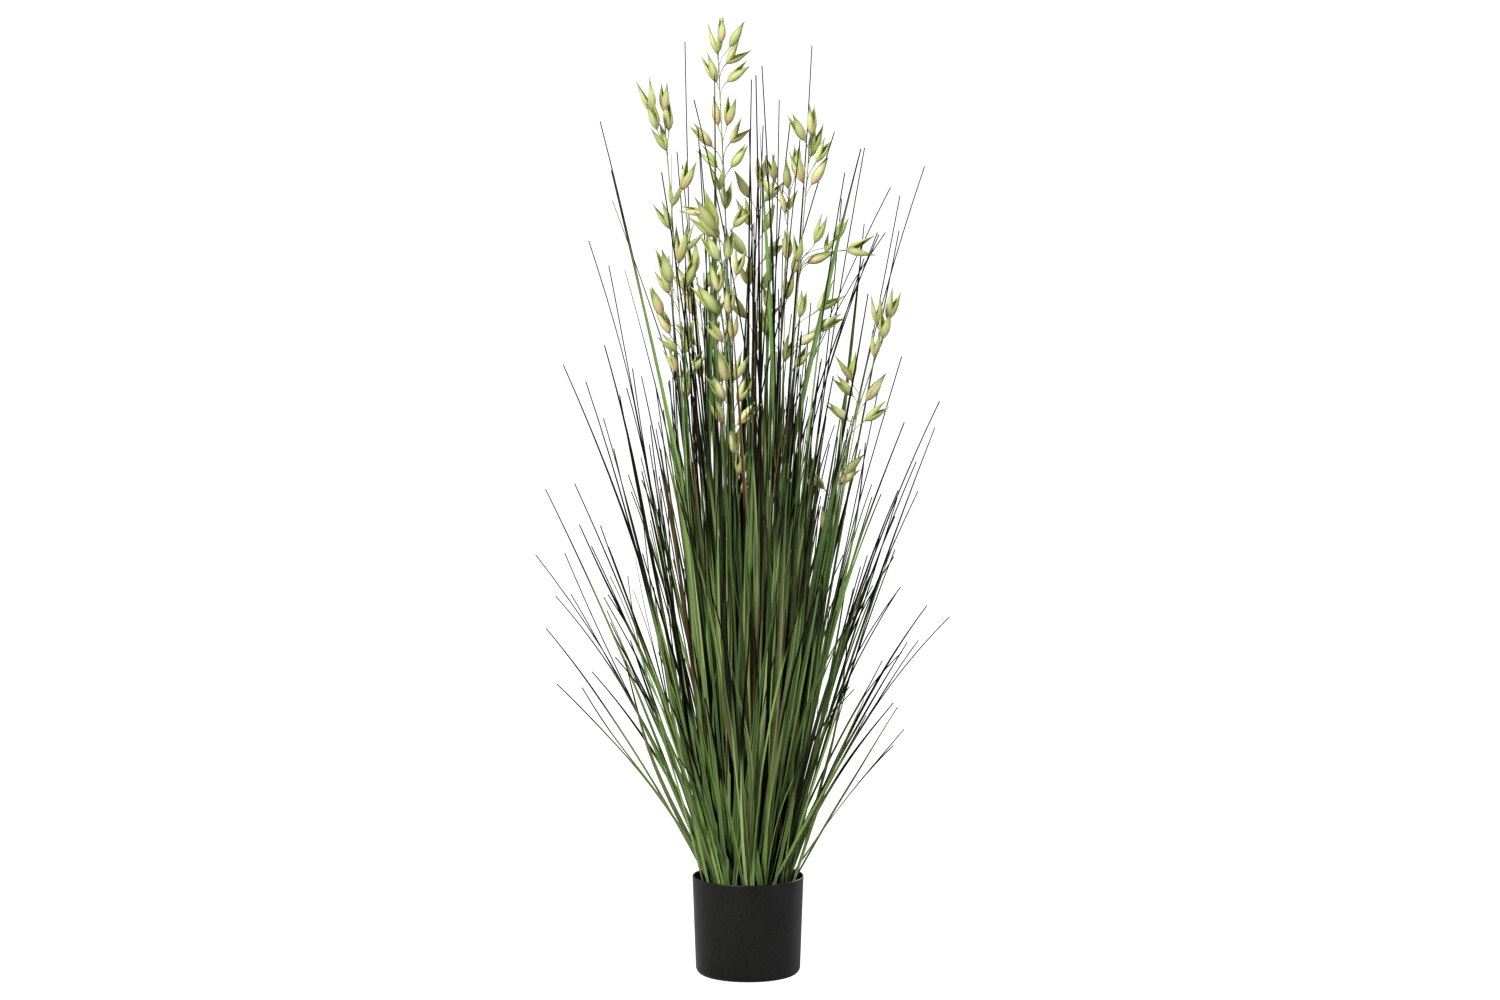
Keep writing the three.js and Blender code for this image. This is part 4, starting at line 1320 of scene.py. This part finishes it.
def add_plug(sheet, place, radius):
    length = PLUG_DEPTH + PLUG_STAND
    x, y = on_circle(*place)
    middle = Matrix.Translation(Vector((x, y, FILLING_TOP + PLUG_STAND - length / 2)) * MM)
    size = {"radius1": radius * MM, "radius2": radius * MM, "depth": length * MM}
    made = bmesh.ops.create_cone(sheet, cap_ends=True, segments=PLUG_SIDES, matrix=middle, **size)["verts"]
    edges = {edge for vert in made for edge in vert.link_edges}
    rim = [edge for edge in edges if min(vert.co.z for vert in edge.verts) > FILLING_TOP * MM]
    bevel = {"affect": "EDGES", "offset": PLUG_ROUND * MM, "segments": 2, "profile": 0.5, "material": -1}
    bmesh.ops.bevel(sheet, geom=rim, **bevel)


def make_tuft(tuft, lines):
    """All blades of a tuft and its plug, in one piece."""
    name, _, place = tuft
    kind, _, number_in_name = name.split("_")
    sheet = bmesh.new()
    sheet.loops.layers.uv.new("UVMap")
    numbers = sheet.verts.layers.float_color.new("blade")
    for number, line in lines:
        dress_blade(sheet, line, number)
    bmesh.ops.solidify(sheet, geom=sheet.faces[:], thickness=BLADE_SHEET * MM)
    blades = set(sheet.verts)
    add_plug(sheet, place, PLUGS[kind])
    for vert in sheet.verts:
        if vert not in blades:
            vert[numbers] = PLUG_LOOK
    smooth(sheet.faces)
    crease(sheet)
    return add_piece(f"{kind}_blades_{number_in_name}", sheet, blade_plastic, SLOTS[kind], name)


numbered = list(enumerate(grown + filled))
tuft_pieces = []
for tuft in TUFTS + RUSSET_TUFTS:
    tuft_pieces.append(make_tuft(tuft, [(i, line) for i, line in numbered if line.owner == tuft[0]]))
print(len(tuft_pieces), "tufts,", sum(map(triangles, tuft_pieces)), "triangles")

# %% [markdown]
# ## Oats
# A spray is a wire stem coated with plastic, with thin stalks that leave it steeply and arch outwards. A rod
# helper makes both: it starts with a small circle and extrudes it from point to point. A spikelet is two
# thin husks that cup round each other at the base and part into two drawn-out points. A husk starts as a
# grid that is rolled into a cup, and its thickness is added inwards, so that the inner side can have a
# colour of its own. The points carry four numbers here too: the tone, the share of the length, how peach a
# husk is, and whether it is the inner side, or on a stalk how dark its wire is.

# %% Draw out a rod
def draw_rod(sheet, points, radii, sides, tone, dark):
    """A closed rod along points in millimetres, with one tone and darkness all along."""
    numbers = sheet.verts.layers.float_color["oat"]
    ring = bmesh.ops.create_circle(sheet, cap_ends=True, radius=1, segments=sides)["verts"]
    shape = {vert: vert.co.copy() for vert in ring}
    cap = ring[0].link_faces[0]
    last = len(points) - 1
    for i, (point, radius) in enumerate(zip(points, radii)):
        if i > 0:
            made = bmesh.ops.extrude_face_region(sheet, geom=[cap])["geom"]
            cap = next(item for item in made if isinstance(item, bmesh.types.BMFace))
            links = [(vert, edge.other_vert(vert)) for vert in cap.verts for edge in vert.link_edges]
            shape = {vert: shape[old] for vert, old in links if old in shape}
        ahead = (points[min(i + 1, last)] - points[max(i - 1, 0)]).normalized()
        turn = Vector((0, 0, 1)).rotation_difference(ahead).to_matrix()
        for vert, place in shape.items():
            vert.co = (point + turn @ place * radius) * MM
            vert[numbers] = (tone, i / last, 0, dark)


# %% Draw a spray's stem and stalks
STEM_STEPS = 26
STEM_SIDES = 8
STEM_FULLNESS = 0.34
STEM_TONE = 0.4
STALK_STEPS = 6
STALK_SIDES = 5
STALK_ARCH = (0.5, 0.3)
STALK_RADII = (0.9, 0.6, 0.48, 0.44, 0.46, 0.55, 0.8)


def stem_points(stem):
    return [Vector(along(stem, i / STEM_STEPS)) for i in range(STEM_STEPS + 1)]


def stalk_points(stem, spikelet):
    """A stalk leaves the stem steeply, and bends over to the base of its spikelet."""
    start = Vector(along(stem, spikelet.stalk_share))
    ahead = (Vector(along(stem, spikelet.stalk_share + LOOK_AHEAD)) - start).normalized()
    span = (spikelet.base - start).length
    second = start + ahead * span * STALK_ARCH[0]
    third = spikelet.base - spikelet.axis * span * STALK_ARCH[1]
    points = []
    for i in range(STALK_STEPS + 1):
        t = i / STALK_STEPS
        low, middle, high = start.lerp(second, t), second.lerp(third, t), third.lerp(spikelet.base, t)
        points.append(low.lerp(middle, t).lerp(middle.lerp(high, t), t))
    return points


def make_stem(stem, spikelets, number, material):
    sheet = bmesh.new()
    sheet.verts.layers.float_color.new("oat")
    draw = draws(LOOK_SEED * BLADE_SEEDS + number)
    radii = [STEM_FULLNESS * STEM_WIDTH * stem.taper(i / STEM_STEPS) for i in range(STEM_STEPS + 1)]
    draw_rod(sheet, stem_points(stem), radii, STEM_SIDES, STEM_TONE, 0)
    for spikelet in spikelets:
        draw_rod(sheet, stalk_points(stem, spikelet), STALK_RADII, STALK_SIDES, draw(0, 1), draw(0, 1))
    bmesh.ops.recalc_face_normals(sheet, faces=sheet.faces[:])
    smooth(sheet.faces)
    return add_piece(f"oat_stem_{number}", sheet, material, "oat", stem.owner)


# %% Roll a husk
HUSK_COLUMNS = 6
HUSK_ROWS = 7
HUSK_RADIUS = 6
HUSK_STRETCH = 1.28
HUSK_SHEET = 0.35
INNER_HUSK = 0.86
NARROWEST_HUSK = 0.25
BENT_APART = 1.4
SWELL_LOW = 0.68
SWELL_SHARP = 1.35
CUP = (120, 84)
MOST_TURNED = math.radians(75)
PARTED = (math.radians(9), math.radians(17))


def turned_round(spikelet, draw):
    """The same spikelet, turned round its own axis. The further its husks part, the less it is turned."""
    most = MOST_TURNED * (1 - eased_share(spikelet.half_opening, *PARTED))
    return replace(spikelet, opens=Matrix.Rotation(draw(-most, most), 3, spikelet.axis) @ spikelet.opens)


def husk_point(spikelet, side, column, row):
    """The point of a husk at a column from -1 to 1 round it, and a row from 0, its base, to 1, its tip."""
    length = HUSK_STRETCH * HUSK_LENGTH * spikelet.size
    half = spikelet.half_opening
    hinge = spikelet.opens.cross(spikelet.axis)
    middle = spikelet.base + spikelet.axis * length * row * math.cos(half)
    middle += spikelet.opens * side * length * math.sin(half) * row**BENT_APART
    swell = max(0, math.sin(math.pi * row**SWELL_LOW)) ** SWELL_SHARP
    radius = HUSK_RADIUS * spikelet.size * swell * (1 if side > 0 else INNER_HUSK) + NARROWEST_HUSK
    turn = math.radians(column * (CUP[0] + (CUP[1] - CUP[0]) * row))
    return (middle + radius * (spikelet.opens * side * math.cos(turn) + hinge * math.sin(turn))) * MM


def roll_husk(sheet, spikelet, side, tone, peach):
    """One husk of a spikelet, with its faces pointing away from the other."""
    numbers = sheet.verts.layers.float_color["oat"]
    size = {"x_segments": HUSK_COLUMNS, "y_segments": HUSK_ROWS, "size": 1}
    made = bmesh.ops.create_grid(sheet, **size, calc_uvs=True)["verts"]
    faces = list({face for vert in made for face in vert.link_faces})
    for vert in made:
        column, row = vert.co.x, (vert.co.y + 1) / 2
        vert.co = husk_point(spikelet, side, column, row)
        vert[numbers] = (tone, row, peach, 0)
    sheet.normal_update()
    if sum(face.normal.dot(spikelet.opens * side) for face in faces) < 0:
        bmesh.ops.reverse_faces(sheet, faces=faces)


# %% Put the husks on a spray
PEACH = (-0.2, 1.1)


def make_husks(stem, spikelets, number, material):
    sheet = bmesh.new()
    sheet.loops.layers.uv.new("UVMap")
    numbers = sheet.verts.layers.float_color.new("oat")
    draw = draws(2 * LOOK_SEED * BLADE_SEEDS + number)
    for planned_spikelet in spikelets:
        spikelet = turned_round(planned_spikelet, draw)
        peach = max(0, draw(*PEACH))
        for side in (-1, 1):
            roll_husk(sheet, spikelet, side, draw(0, 1), peach)
    sheet.normal_update()
    outer = set(sheet.verts)
    bmesh.ops.solidify(sheet, geom=sheet.faces[:], thickness=HUSK_SHEET * MM)
    for vert in sheet.verts:
        if vert not in outer:
            tone, row, peach, _ = vert[numbers]
            vert[numbers] = (tone, row, peach, 1)
    smooth(sheet.faces)
    return add_piece(f"oat_husks_{number}", sheet, material, "oat", stem.owner)


# %% [markdown]
# The husks are yellow green, with fine lines along them, a peach flush at the base of most, greener insides,
# edges darkened by painted shade, and darker points. Stems are a greyer olive, and some of the thin stalks
# show their dark wire.
# Husks and stems differ too much to share a material, but both read the four numbers of their points.

# %% Make the oats' materials
def make_husk_skin():
    material, tree, shader = new_material("oat husk skin")
    tone, row, peach, inside = four_numbers(tree, "oat")
    lines = streaks(tree, across=9, along=1, shift=tone)
    across = node(tree, "SeparateXYZ", {"Vector": node(tree, "TexCoord").outputs["UV"]}).outputs[0]
    from_middle = sums(tree, "ABSOLUTE", sums(tree, "MULTIPLY_ADD", across, 2, -1))
    light, pale = paint(194, 196, 148), paint(180, 184, 130)
    greens = ramp(tree, tone, paint(160, 168, 110), light, pale, paint(144, 152, 98))
    lined = blended(tree, lines, greens, paint(118, 134, 70), most=0.6)
    flush = sums(tree, "MULTIPLY", peach, eased(tree, row, 0.7, 0.1))
    flushed = blended(tree, flush, lined, paint(186, 160, 124))
    # Painted shade: the husk's edges, where it curls round, are painted darker.
    painted_shade_at_edges = blended(tree, eased(tree, from_middle, 0.25, 0.9), flushed, paint(108, 126, 56), most=0.6)
    pointed = blended(tree, eased(tree, row, 0.55, 1.0), painted_shade_at_edges, paint(78, 90, 44))
    feed(tree, shader, {
        "Base Color": blended(tree, inside, pointed, paint(168, 174, 96)),
        "Normal": bumped(tree, lines, strength=0.4, distance=0.0003),
        "Roughness": 0.6,
    })
    return material


def make_stem_skin():
    material, tree, shader = new_material("oat stem skin")
    tone, _, _, dark = four_numbers(tree, "oat")
    clouds = mottle(tree, 160)
    olive = blended(tree, clouds, paint(118, 128, 82), paint(92, 102, 62))
    toned = blended(tree, tone, olive, paint(150, 152, 104), most=0.4)
    wire = blended(tree, clouds, paint(58, 50, 52), paint(82, 78, 62))
    feed(tree, shader, {
        "Base Color": blended(tree, eased(tree, dark, 0.45, 0.7), toned, wire),
        "Normal": bumped(tree, clouds, strength=0.3, distance=0.0003),
        "Roughness": 0.62,
    })
    return material


husk_skin = make_husk_skin()
stem_skin = make_stem_skin()

# %% Make the sprays
oat_pieces = []
for number, (stem, spikelets) in enumerate(planned, 1):
    oat_pieces.append(make_stem(stem, spikelets, number, stem_skin))
    oat_pieces.append(make_husks(stem, spikelets, number, husk_skin))
print(len(oat_pieces), "pieces of oats,", sum(map(triangles, oat_pieces)), "triangles")
